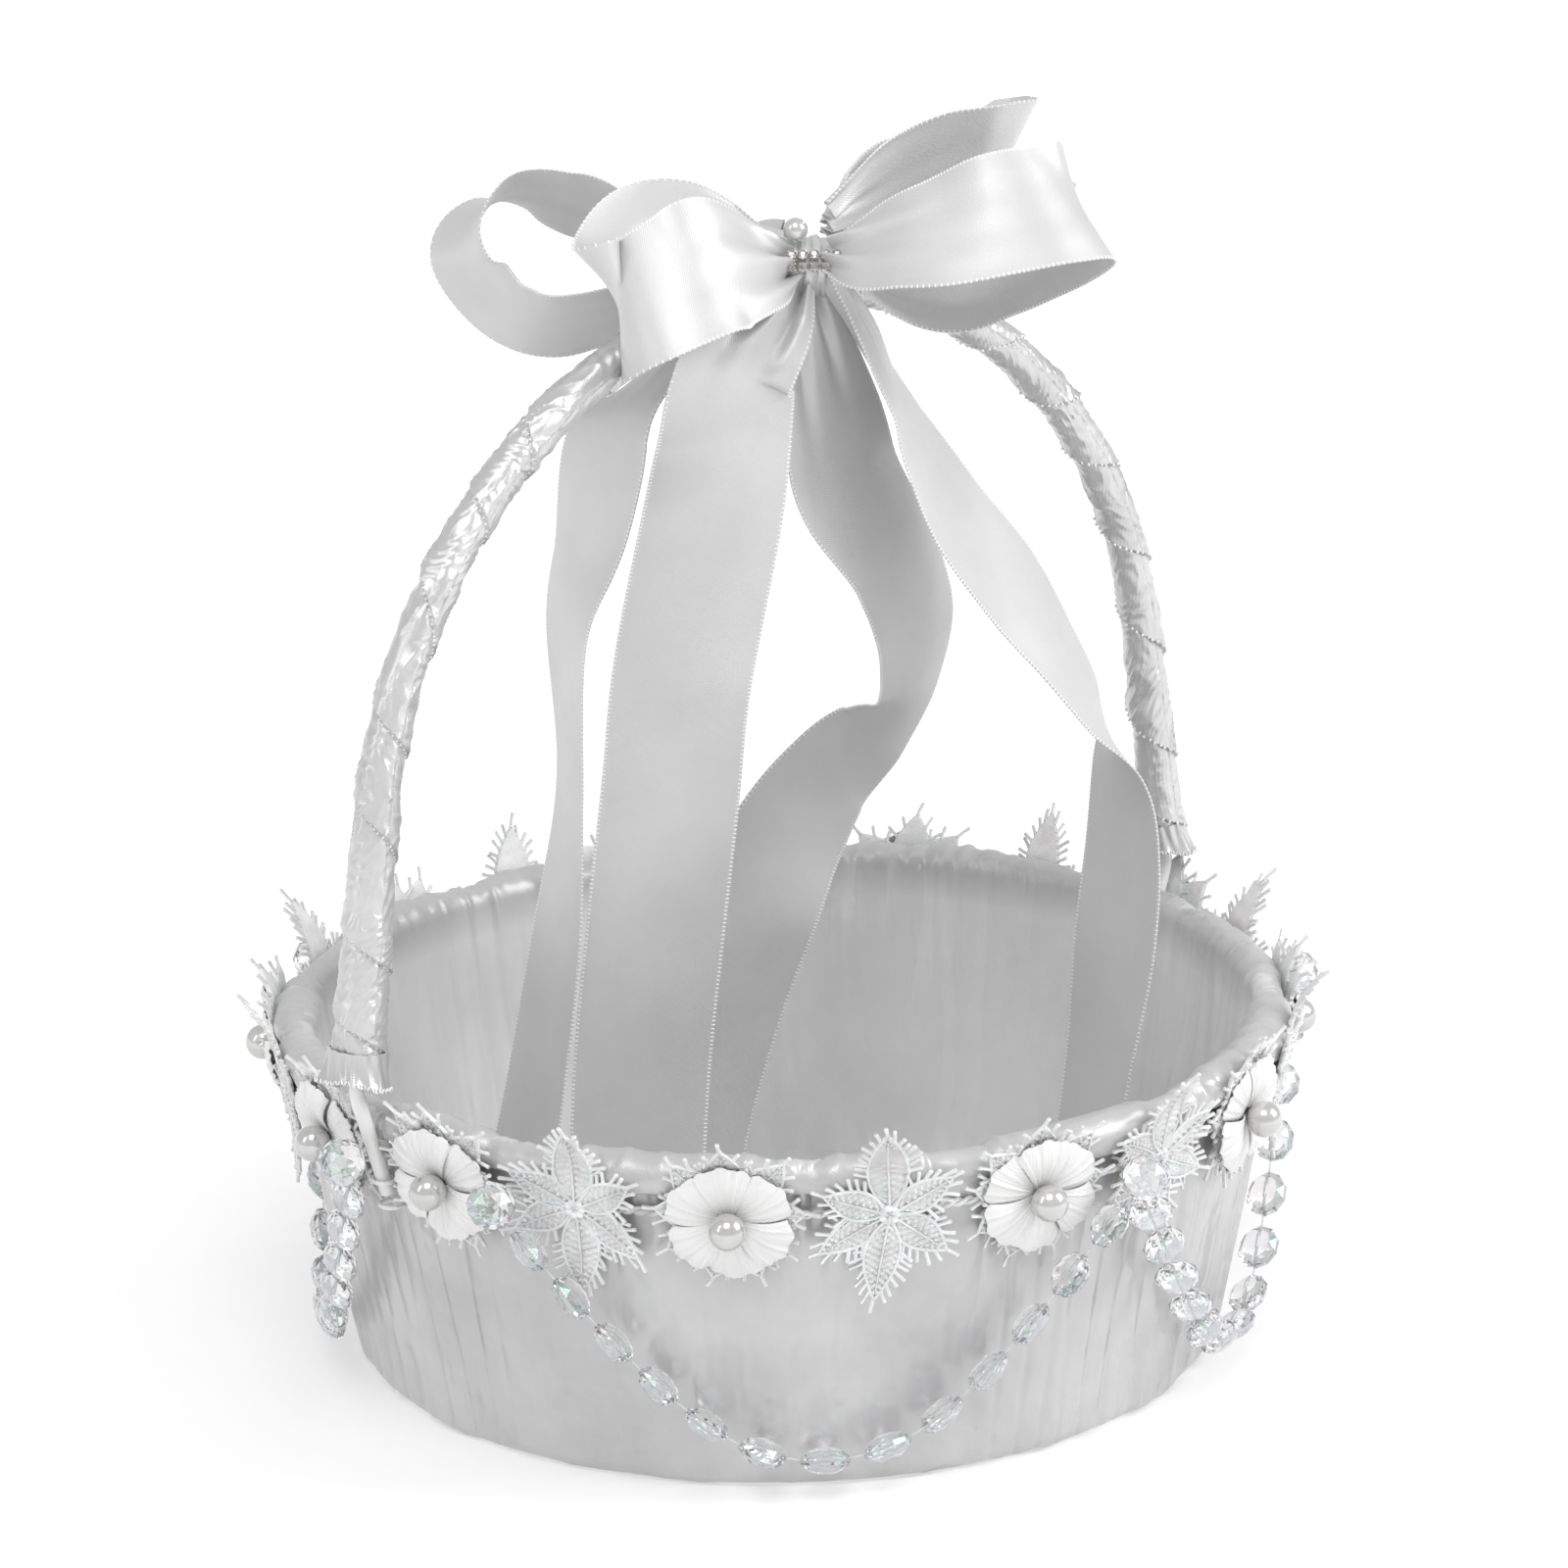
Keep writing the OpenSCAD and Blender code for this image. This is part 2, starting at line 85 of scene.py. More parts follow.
SPRAYS = [-153 + 34 * i for i in range(10)]
SPRAY_LEAVES = [(90, 21.5, 8), (28, 15, 7), (150, 16, 7), (205, 16, 7), (268, 20, 8), (325, 17, 7)]
FOOT_FLOWER, FOOT_LIFT = 5, 5.2
FULL = 30

# Ribbons: stations [centre, direction across, width] in the bow's own frame
RIBBONS = {
    "bow_loop_left_back": [
        [[4, 1, 243], [-3, 8, -5], 9], [[-12, 9, 245], [-4, 8, -5], 20],
        [[-28, 9, 246], [-4, 8, -5], FULL], [[-41, 12, 250], [-4, 8, -5], FULL],
        [[-53, 14, 252], [-4, 8, -4], FULL], [[-61, 14, 248], [-4, 8, -4], FULL],
        [[-64, 14, 239], [-5, 8, -4], FULL], [[-58, 14, 229], [-4, 8, -5], FULL],
        [[-49, 12, 225], [-3, 8, -6], FULL], [[-38, 10, 226], [-3, 8, -6], FULL],
        [[-20, 8, 231], [-2, 8, -6], 26], [[3, 5, 240], [1, 8, -5], 8]],
    "bow_loop_left_front": [
        [[5, -10, 241], [1, -7, -7], 8], [[0, -17, 243], [2, -7, -7], 20],
        [[-9, -27, 246], [2, -6, -8], FULL], [[-17, -33, 244], [2, -6, -8], FULL],
        [[-26, -35, 240], [2, -6, -8], FULL], [[-31, -31, 237], [2, -6, -8], FULL],
        [[-29, -23, 240], [2, -6, -8], FULL], [[-22, -12, 248], [2, -6, -8], 28],
        [[-9, -8, 248], [2, -6, -7], 20], [[4, -4, 243], [1, -8, -4], 8]],
    "bow_loop_right_front": [
        [[13, -10, 244], [0, -8, -6], 9], [[20, -16, 246], [0, -8, -6], 20],
        [[28, -21, 249], [0, -8, -6], 26], [[37, -23, 251], [1, -8, -6], FULL],
        [[48, -23, 254], [2, -7, -7], FULL], [[59, -19, 255], [3, -7, -7], FULL],
        [[66, -10, 253], [3, -7, -6], FULL], [[62, 1, 246], [2, -7, -7], FULL],
        [[50, 7, 239], [2, -7, -7], FULL], [[38, 7, 234], [1, -8, -6], FULL],
        [[26, 3, 236], [0, -7, -7], 20], [[13, -3, 242], [0, -9, -5], 8]],
    "bow_loop_right_back": [
        [[13, -3, 249], [1, 6, -8], 8], [[20, 4, 251], [2, 6, -8], 20],
        [[28, 10, 254], [2, 6, -8], 28], [[38, 14, 257], [2, 6, -8], FULL],
        [[47, 18, 257], [2, 6, -8], FULL], [[52, 24, 255], [2, 7, -7], FULL],
        [[50, 30, 250], [2, 7, -7], FULL], [[41, 33, 248], [2, 6, -8], FULL],
        [[26, 26, 249], [2, 6, -8], 28], [[17, 14, 249], [2, 6, -8], 18],
        [[13, 4, 246], [2, 8, -5], 6]],
    "bow_tail_1": [
        [[5, 4, 245], [3, -8, 4], 6], [[-3, 13, 241], [3, -8, 5], 9],
        [[-12, 17, 229], [4, -8, 4], 16], [[-22, 13, 215], [5, -8, 4], 28],
        [[-34, 6, 203], [6, -7, 3], FULL],
        [[-40, 6, 178], [5, -8, 2], FULL], [[-45, 6, 158], [3, -9, 1], FULL],
        [[-45, 4, 124], [2, -9, 0], FULL], [[-48, 1, 95], [3, -9, 0], FULL],
        [[-54, -2, 60], [4, -9, 0], FULL], [[-60, -5, 28], [5, -8, 0], FULL]],
    "bow_tail_2": [
        [[6, -10, 237], [9, 2, 0], 8], [[1, -19, 231], [9, 4, 0], 18],
        [[-7, -26, 222], [9, 4, 0], 28], [[-10, -23, 206], [9, 3, 0], FULL],
        [[-13, -19, 188], [10, 1, 0], FULL], [[-20, -14, 153], [10, -1, 0], FULL],
        [[-23, -12, 128], [10, -1, 0], FULL], [[-27, -12, 97], [10, 0, 0], FULL],
        [[-31, -13, 63], [10, 1, 0], FULL], [[-33, -14, 32], [10, 2, 0], FULL]],
    "bow_tail_3": [
        [[7, -8, 240], [8, 3, 0], 6], [[10, -6, 224], [6, 5, 0], 18],
        [[13, -2, 206], [7, 7, 0], 28], [[17, 4, 190], [7, 7, 0], FULL],
        [[26, 12, 172], [6, 8, 0], FULL], [[31, 20, 153], [5, 8, -1], FULL],
        [[29, 25, 138], [4, 9, -2], FULL], [[21, 25, 128], [5, 7, -4], FULL],
        [[11, 20, 120], [6, 6, -5], FULL], [[2, 15, 108], [7, 4, -5], FULL],
        [[-5, 11, 93], [8, 3, -4], FULL], [[-11, 8, 74], [8, 5, -2], FULL],
        [[-17, 5, 52], [8, 6, -1], FULL], [[-22, 3, 30], [8, 6, -1], FULL]],
    "bow_tail_4": [
        [[12, -8, 240], [3, 9, -3], 6], [[20, -3, 225], [3, 9, -3], 18],
        [[26, 0, 211], [2, 9, -3], 28], [[31, 2, 199], [3, 9, -2], FULL],
        [[40, 6, 182], [4, 9, 0], FULL], [[52, 10, 165], [4, 9, 1], FULL],
        [[62, 12, 150], [3, 9, 0], FULL], [[70, 14, 136], [2, 10, -1], FULL],
        [[75, 14, 122], [-3, 9, 0], FULL], [[76, 13, 105], [-5, 9, 0], FULL],
        [[74, 11, 83], [-5, 8, 0], FULL], [[70, 9, 56], [-4, 9, 0], FULL],
        [[66, 7, 28], [-4, 9, 0], FULL]],
}


def wall_r(z):
    return 95 + SLOPE * np.asarray(z, float)


def unit(a):
    return a / np.maximum(np.linalg.norm(a, axis=-1, keepdims=True), 1e-12)


def catmull(points, steps):
    """A smooth line through the points, as a cardinal spline."""
    p = np.asarray(points, float)
    q = np.concatenate([2 * p[:1] - p[1:2], p, 2 * p[-1:] - p[-2:-1]])
    out = []
    for i in range(len(p) - 1):
        a, b, c, d = q[i:i + 4]
        t = (np.arange(steps) / steps)[:, None]
        out.append(0.5 * (2 * b + (c - a) * t + (2 * a - 5 * b + 4 * c - d) * t ** 2
                          + (3 * b - a - 3 * c + d) * t ** 3))
    return np.concatenate(out + [p[-1:]])


def run_of(line):
    return np.concatenate([[0], np.cumsum(np.linalg.norm(np.diff(line, axis=0), axis=1))])


def even(line, step, *others):
    """The line and its companions at even steps of length."""
    s = run_of(line)
    at = np.linspace(0, s[-1], max(3, int(round(s[-1] / step)) + 1))
    return [np.stack([np.interp(at, s, np.asarray(x)[:, k]) for k in range(np.asarray(x).shape[1])], 1)
            for x in (line, *others)] + [at]


def ripple(rng, lo, hi, count, u, v=0.0, drift=0.0):
    """A sum of cosines that closes around the wall: u is the angle, v moves the phases."""
    s = 0
    for _ in range(count):
        s = s + np.cos(rng.integers(lo, hi) * u + rng.uniform(0, 6.283) + rng.normal(0, drift) * v)
    return s / math.sqrt(count / 2)


def circle(count):
    """Even angles around a full turn."""
    return np.linspace(0, TAU, count, endpoint=False)


def joined(*parts):
    """Coordinates side by side, each stretched to the common shape."""
    return np.stack(np.broadcast_arrays(*parts), -1)


def polar(r, a, z):
    """Points from radius, angle and height."""
    return joined(r * np.cos(a), r * np.sin(a), z)


def spoke(a, e1, e2):
    """Directions at the angles a in the plane of e1 and e2."""
    return np.cos(a)[..., None] * e1 + np.sin(a)[..., None] * e2


def bell(x, width):
    """A smooth bump of height 1 around zero."""
    return np.exp(-(x / width) ** 2)


def spin(p, angle):
    """Points turned about the upright axis."""
    c, s = math.cos(angle), math.sin(angle)
    p = np.asarray(p, float)
    return np.stack([c * p[..., 0] - s * p[..., 1], s * p[..., 0] + c * p[..., 1], p[..., 2]], -1)


def to_object(p):
    """From the bow's frame to the object's."""
    return spin(p, BOW_TURN)


def on_wall(x, y, h, phi, z0):
    """Points on the wall's cone: x around from the angle phi, y up from z0, h out."""
    z = z0 + np.asarray(y) * math.cos(LEAN)
    a = math.radians(phi) + np.asarray(x) / wall_r(z0)
    r = wall_r(z) + np.asarray(h) * math.cos(LEAN)
    return polar(r, a, z - np.asarray(h) * math.sin(LEAN))


# ---------------------------------------------------------------- mesh pieces
def quads(n, m, wrap_n=False, wrap_m=False):
    i, j = np.meshgrid(np.arange(n if wrap_n else n - 1), np.arange(m if wrap_m else m - 1),
                       indexing="ij")
    a, b = (i + 1) % n, (j + 1) % m
    return np.stack([i * m + j, a * m + j, a * m + b, i * m + b], -1).reshape(-1, 4)


class Piece:
    """Gathers surfaces, in millimetres, into one object."""

    def __init__(self):
        self.v, self.f, self.uv, self.slots, self.n = [], [], [], [], 0

    def put(self, v, f, uv=None, slot=0):
        v = np.asarray(v, float).reshape(-1, 3)
        self.v.append(v)
        self.uv.append(np.zeros((len(v), 2)) if uv is None else np.asarray(uv, float).reshape(-1, 2))
        for part in f if isinstance(f, list) else [f]:
            self.f.append(np.asarray(part) + self.n)
            self.slots.append(np.full(len(part), slot))
        self.n += len(v)

    def shell(self, top, bottom, uv=None, wrap=False, slot=0):
        """A closed skin between two grids of points. wrap joins the first row to the last."""
        n, m = top.shape[:2]
        f = quads(n, m, wrap)
        edge = []
        rows = np.arange(n if wrap else n - 1)
        nxt = (rows + 1) % n
        for j, flip in ((0, False), (m - 1, True)):
            e = np.stack([rows * m + j, nxt * m + j, nxt * m + j + n * m, rows * m + j + n * m], 1)
            edge.append(e[:, ::-1] if flip else e)
        if not wrap:
            cols = np.arange(m - 1)
            for i, flip in ((0, True), (n - 1, False)):
                e = np.stack([i * m + cols, i * m + cols + 1, i * m + cols + 1 + n * m,
                              i * m + cols + n * m], 1)
                edge.append(e[:, ::-1] if flip else e)
        uv2 = None if uv is None else np.concatenate([uv.reshape(-1, 2)] * 2)
        self.put(np.concatenate([top.reshape(-1, 3), bottom.reshape(-1, 3)]),
                 np.concatenate([f[:, ::-1], f + n * m, *edge]), uv2, slot)

    def tube(self, line, radius, sides=8, slot=0, twist=0.0):
        """A round tube along a line, its ends closed to a point."""
        p = np.asarray(line, float)
        n = len(p)
        t = unit(np.gradient(p, axis=0))
        u = np.empty_like(p)
        ref = np.array([0, 0, 1.0]) if abs(t[0][2]) < 0.9 else np.array([1.0, 0, 0])
        last = unit(ref - t[0] * (ref @ t[0]))
        for i in range(n):
            last = unit(last - t[i] * (last @ t[i]))
            u[i] = last
        w = np.cross(t, u)
        r = np.broadcast_to(np.asarray(radius, float), (n,))
        a = np.arange(sides) * TAU / sides
        ring = p[:, None] + r[:, None, None] * spoke(a[None], u[:, None], w[:, None])
        v = np.concatenate([ring.reshape(-1, 3), p[:1] - t[:1] * r[0] * 0.6, p[-1:] + t[-1:] * r[-1] * 0.6])
        k = np.arange(sides)
        caps = np.concatenate([np.stack([np.full(sides, n * sides), k, (k + 1) % sides], 1),
                               np.stack([np.full(sides, n * sides + 1), (n - 1) * sides + (k + 1) % sides,
                                         (n - 1) * sides + k], 1)])
        uv = np.zeros((len(v), 2))
        uv[:n * sides, 0] = np.tile(a, n) * r.max() * MM
        uv[:n * sides, 1] = np.repeat(run_of(p), sides) * MM
        self.put(v, [quads(n, sides, wrap_m=True), caps], uv, slot)

    def dots(self, centres, axes, slot=0, sides=6, rings=3):
        """Small rounded bodies: axes holds three scaled vectors for each."""
        lat = (np.arange(rings) + 1) * math.pi / (rings + 1)
        a = np.arange(sides) * TAU / sides
        base = [[0, 0, 1]] + [[math.sin(t) * math.cos(b), math.sin(t) * math.sin(b), math.cos(t)]
                              for t in lat for b in a] + [[0, 0, -1]]
        base = np.array(base, float)
        last = len(base) - 1
        tri = [[0, 1 + k, 1 + (k + 1) % sides] for k in range(sides)]
        tri += [[last, last - sides + (k + 1) % sides, last - sides + k] for k in range(sides)]
        quad = [[1 + r * sides + k, 1 + (r + 1) * sides + k, 1 + (r + 1) * sides + (k + 1) % sides,
                 1 + r * sides + (k + 1) % sides] for r in range(rings - 1) for k in range(sides)]
        v = centres[:, None] + base @ axes
        shift = (np.arange(len(centres)) * len(base))[:, None, None]
        faces = [(np.array(part)[None] + shift).reshape(-1, len(part[0])) for part in (quad, tri)]
        self.put(v, faces, None, slot)

    def made(self, name, materials, node=None, body="basket", smooth=True, sharp=50):
        v = np.concatenate(self.v) * MM
        loops = np.concatenate([f.ravel() for f in self.f])
        sizes = np.concatenate([np.full(len(f), f.shape[1]) for f in self.f])
        me = bpy.data.meshes.new(name)
        me.vertices.add(len(v))
        me.vertices.foreach_set("co", v.ravel())
        me.loops.add(len(loops))
        me.loops.foreach_set("vertex_index", loops.astype(np.int32))
        me.polygons.add(len(sizes))
        me.polygons.foreach_set("loop_start", np.concatenate([[0], np.cumsum(sizes)[:-1]]).astype(np.int32))
        me.update(calc_edges=True)
        layer = me.uv_layers.new(name="UVMap")
        layer.data.foreach_set("uv", np.concatenate(self.uv)[loops].ravel())
        me.polygons.foreach_set("material_index", np.concatenate(self.slots).astype(np.int32))
        me.polygons.foreach_set("use_smooth", np.full(len(sizes), smooth))
        for m in materials if isinstance(materials, list) else [materials]:
            me.materials.append(m)
        bm = bmesh.new()
        bm.from_mesh(me)
        bmesh.ops.recalc_face_normals(bm, faces=bm.faces)
        bm.to_mesh(me)
        bm.free()
        if smooth and sharp:
            me.set_sharp_from_angle(angle=math.radians(sharp))
        ob = bpy.data.objects.new(name, me)
        scene.collection.objects.link(ob)
        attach(ob, body)
        if node:
            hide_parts(*([node] if isinstance(node, str) else node))
        return ob


# ---------------------------------------------------------------- materials
class Nodes:
    """A Principled material with short helpers for its nodes."""

    def __init__(self, name, **values):
        self.material = bpy.data.materials.new(name)
        self.material.use_nodes = True
        self.tree = self.material.node_tree
        self.shader = self.tree.nodes["Principled BSDF"]
        for key, value in values.items():
            self.shader.inputs[key.replace("_", " ")].default_value = value
        self.coords = self.add("ShaderNodeTexCoord")
        self.heights = None

    def add(self, kind, **inputs):
        node = self.tree.nodes.new(kind)
        for key, value in inputs.items():
            if key.startswith("is_"):
                setattr(node, key[3:], value)
            elif isinstance(value, bpy.types.NodeSocket):
                self.tree.links.new(value, node.inputs[key.replace("_", " ")])
            else:
                node.inputs[key.replace("_", " ")].default_value = value
        return node

    def place(self, kind="Object", scale=(1, 1, 1), turn=0.0):
        return self.add("ShaderNodeMapping", Vector=self.coords.outputs[kind], Scale=scale,
                        Rotation=(0, 0, turn)).outputs["Vector"]

    def noise(self, scale, detail=3.0, kind="Object", stretch=(1, 1, 1), rough=0.5):
        return self.add("ShaderNodeTexNoise", Vector=self.place(kind, stretch), Scale=scale, Detail=detail,
                        Roughness=rough).outputs["Fac"]

    def bands(self, period, kind="UV", turn=0.0, wobble=0.0, profile="SIN"):
        return self.add("ShaderNodeTexWave", Vector=self.place(kind, turn=turn), Scale=0.31416 / period,
                        Distortion=wobble, is_wave_profile=profile).outputs["Fac"]

    def colour(self, fac, low, high):
        """A ramp of the base colour. A single number is a grey."""
        low, high = ((c, c, c) if isinstance(c, float) else c for c in (low, high))
        ramp = self.add("ShaderNodeValToRGB", Fac=fac)
        ramp.color_ramp.elements[0].color = (*low, 1)
        ramp.color_ramp.elements[1].color = (*high, 1)
        ramp.color_ramp.elements[0].position, ramp.color_ramp.elements[1].position = 0.32, 0.68
        self.tree.links.new(ramp.outputs["Color"], self.shader.inputs["Base Color"])

    def painted_shade(self, low, high, share):
        """Painted shade: lets the base colour fall to a share of itself between two heights."""
        height = self.add("ShaderNodeSeparateXYZ", Vector=self.coords.outputs["Object"]).outputs["Z"]
        fall = self.add("ShaderNodeMapRange", Value=height, From_Min=low, From_Max=high, To_Min=1.0,
                        To_Max=share)
        node = self.add("ShaderNodeVectorMath", is_operation="MULTIPLY")
        self.tree.links.new(self.shader.inputs["Base Color"].links[0].from_socket, node.inputs[0])
        self.tree.links.new(fall.outputs["Result"], node.inputs[1])
        self.tree.links.new(node.outputs["Vector"], self.shader.inputs["Base Color"])

    def range(self, fac, low, high, socket="Roughness"):
        node = self.add("ShaderNodeMapRange", Value=fac, To_Min=low, To_Max=high)
        self.tree.links.new(node.outputs["Result"], self.shader.inputs[socket])

    def bump(self, fac, depth, strength=1.0):
        inputs = {"Height": fac, "Distance": depth, "Strength": strength}
        node = self.add("ShaderNodeBump", **inputs)
        if self.heights is not None:
            self.tree.links.new(self.heights, node.inputs["Normal"])
        self.heights = node.outputs["Normal"]
        self.tree.links.new(self.heights, self.shader.inputs["Normal"])


def satin(name, low, high, rough, metal, folds=0.0, upright=1.0, crumple=0.0002, turn=0.25, painted_shade=None):
    """Woven satin: low and high are greys, folds and crumple bump depths, upright draws folds out in Z."""
    m = Nodes(name, Metallic=metal, Specular_IOR_Level=0.6, Sheen_Weight=0.1, Sheen_Roughness=0.35,
              Anisotropic=0.55, Anisotropic_Rotation=turn)
    tangent = m.add("ShaderNodeTangent", is_direction_type="UV_MAP")
    m.tree.links.new(tangent.outputs["Tangent"], m.shader.inputs["Tangent"])
    m.colour(m.noise(38, 4), (low, low, low + 0.005), (high, high, high + 0.005))
    # painted shade: the base colour darkens between two heights
    if painted_shade:
        m.painted_shade(*painted_shade)
    stretch = (1, 1, upright)
    m.range(m.noise(90, 3, stretch=stretch), *rough)
    if folds:
        m.bump(m.noise(55, 3, stretch=stretch, rough=0.5), folds, 0.8)
        m.bump(m.noise(45, 3, rough=0.55), crumple, 0.7)
    m.bump(m.bands(0.00042, turn=0.9, wobble=0.6), 0.00004, 0.5)
    m.bump(m.noise(2200, 2, kind="UV"), 0.00006, 0.5)
    return m.material


RIBBON = satin("ribbon_satin", 0.56, 0.62, (0.36, 0.48), 0.32, turn=0.0)
WRAP = satin("wrap_satin", 0.52, 0.62, (0.24, 0.34), 0.62, folds=0.0004)
# cover and lining are one satin: their different greys are painted shade and painted light, the cover
# painted darker than the lining
COVER = satin("cover_satin", 0.49, 0.58, (0.24, 0.38), 0.46, folds=0.005, upright=0.12, crumple=0.0042)
# painted shade: the lining's grey falls to 68% between 66 and 74 mm height, darker towards the rim
LINING = satin("lining_satin_cloth", 0.70, 0.76, (0.24, 0.38), 0.22, folds=0.0045, upright=0.08,
               crumple=0.0012, painted_shade=(0.066, 0.074, 0.68))
BINDING = satin("binding_satin", 0.56, 0.66, (0.22, 0.36), 0.3, folds=0.0006)

m = Nodes("selvedge_thread", Roughness=0.5, Sheen_Weight=0.3, Specular_IOR_Level=0.5)
m.colour(m.noise(700), 0.78, 0.88)
m.range(m.noise(900), 0.4, 0.6)
m.bump(m.bands(0.00016, kind="Object", turn=0.6), 0.00003, 0.4)
SELVEDGE = m.material

m = Nodes("lace_thread", Sheen_Weight=0.35, Sheen_Roughness=0.5, Specular_IOR_Level=0.45,
          Subsurface_Weight=0.08, Subsurface_Scale=0.002)
m.colour(m.noise(260, 4), 0.74, 0.90)
m.range(m.noise(500), 0.45, 0.65)
m.bump(m.bands(0.00034, turn=0.5, wobble=0.8), 0.00012, 0.7)
m.bump(m.noise(1600, 3), 0.00008, 0.6)
LACE = m.material

m = Nodes("petal_satin", Metallic=0.12, Sheen_Weight=0.2, Sheen_Roughness=0.4, Specular_IOR_Level=0.5)
m.colour(m.noise(120, 4), (0.72, 0.717, 0.715), (0.80, 0.797, 0.795))
m.range(m.noise(200), 0.38, 0.55)
m.bump(m.bands(0.0007, turn=0.0, wobble=1.2), 0.00010, 0.5)
m.bump(m.noise(1500, 2), 0.00005, 0.5)
PETAL = m.material

m = Nodes("pearl_nacre", Metallic=0.6, Specular_IOR_Level=0.8, Coat_Weight=0.8, Coat_Roughness=0.08,
          Coat_IOR=1.7)
m.colour(m.noise(160, 3), (0.50, 0.495, 0.49), (0.60, 0.595, 0.59))
m.range(m.noise(420), 0.16, 0.26)
m.bump(m.noise(900, 3), 0.00002, 0.4)
PEARL = m.material

m = Nodes("crystal_glass", Transmission_Weight=0.92, IOR=1.6, Thin_Film_Thickness=380, Thin_Film_IOR=1.75,
          Coat_Weight=0.6, Coat_Roughness=0.03)
m.colour(m.add("ShaderNodeTexVoronoi", Vector=m.place(), Scale=230.0).outputs["Color"],
         (0.93, 0.95, 0.96), (0.99, 0.965, 0.97))
m.range(m.noise(350), 0.015, 0.06)
m.bump(m.noise(700, 2), 0.00002, 0.3)
GLASS = m.material

m = Nodes("nylon_thread", Transmission_Weight=0.6, IOR=1.5, Specular_IOR_Level=0.6)
m.colour(m.noise(400), (0.86, 0.88, 0.89), (0.95, 0.96, 0.97))
m.range(m.noise(500), 0.15, 0.25)
m.bump(m.noise(2500), 0.00002, 0.3)
NYLON = m.material

m = Nodes("silver_setting", Metallic=1.0)
m.colour(m.noise(400), (0.62, 0.59, 0.56), (0.85, 0.83, 0.81))
m.range(m.noise(600), 0.15, 0.3)
m.bump(m.noise(1500), 0.00003, 0.4)
SILVER = m.material

m = Nodes("rhinestone_glass", Transmission_Weight=0.75, IOR=1.9, Coat_Weight=1.0, Coat_Roughness=0.02)
m.colour(m.add("ShaderNodeTexVoronoi", Vector=m.place(), Scale=900.0).outputs["Color"],
         (0.45, 0.44, 0.44), (0.98, 0.95, 0.9))
m.range(m.noise(500), 0.02, 0.06)
m.bump(m.noise(900), 0.00002, 0.2)
STONE = m.material

m = Nodes("coated_rod", Specular_IOR_Level=0.6, Coat_Weight=0.4, Coat_Roughness=0.15)
m.colour(m.noise(90, 4), (0.74, 0.73, 0.72), (0.86, 0.86, 0.855))
m.range(m.noise(240), 0.25, 0.4)
m.bump(m.noise(420, 4), 0.00012, 0.5)
ROD = m.material

m = Nodes("steel_hoop", Metallic=1.0)
m.colour(m.noise(200, 4), (0.5, 0.5, 0.5), (0.68, 0.68, 0.67))
m.range(m.noise(400), 0.25, 0.45)
m.bump(m.noise(900, 3), 0.00004, 0.5)
STEEL = m.material

m = Nodes("grey_board", Specular_IOR_Level=0.3)
m.colour(m.noise(420, 6, rough=0.7), (0.50, 0.46, 0.40), (0.64, 0.60, 0.54))
m.range(m.noise(300), 0.75, 0.9)
m.bump(m.noise(1300, 5, rough=0.7), 0.0002, 0.6)
BOARD = m.material

m = Nodes("cover_paper", Specular_IOR_Level=0.35, Sheen_Weight=0.1)
m.colour(m.noise(180, 5), (0.72, 0.72, 0.715), (0.82, 0.82, 0.815))
m.range(m.noise(260), 0.5, 0.7)
m.bump(m.noise(1100, 5, rough=0.65), 0.00012, 0.6)
m.bump(m.bands(0.0008, kind="Object"), 0.00004, 0.3)
PAPER = m.material

m = Nodes("sewing_thread", Sheen_Weight=0.3, Specular_IOR_Level=0.4)
m.colour(m.noise(500), 0.74, 0.88)
m.range(m.noise(700), 0.5, 0.7)
m.bump(m.bands(0.0004, kind="Object", turn=0.7), 0.0001, 0.8)
THREAD = m.material

# ---------------------------------------------------------------- bead strands: cords first
route_a, route_z, route_out = np.array(ROUTE).T
STRAND = catmull(polar(wall_r(route_z) + route_out, np.radians(route_a), route_z), 8)
STRAND_RUN = run_of(STRAND)


GEM_RINGS = [(0.36, 1.0, 0.0), (0.72, 0.74, 0.5), (0.97, 0.2, 0.0), (0.97, -0.2, 0.0), (0.72, -0.74, 0.5),
             (0.36, -1.0, 0.0)]


def gem(piece, centre, along, across, normal, sides=10, rings=GEM_RINGS, slot=0):
    """A cut bead: rings of corners along the normal, each turned by a share of a side."""
    v = []
    for radius, height, turn in rings:
        a = (np.arange(sides) + turn) * TAU / sides
        v.append(centre + radius * spoke(a, along, across) + height * normal)
    f = []
    for r in range(len(rings) - 1):
        ahead = rings[r + 1][2] - rings[r][2]
        for k in range(sides):
            j = (k + 1) % sides
            a, b, c, d = r * sides + k, r * sides + j, (r + 1) * sides + k, (r + 1) * sides + j
            f += [[a, b, c], [b, d, c]] if ahead >= 0 else [[a, b, d], [a, d, c]]
    n = len(rings)
    for k in range(1, sides - 1):
        f += [[0, k + 1, k], [(n - 1) * sides, (n - 1) * sides + k, (n - 1) * sides + k + 1]]
    piece.put(np.concatenate(v), np.array(f), None, slot)


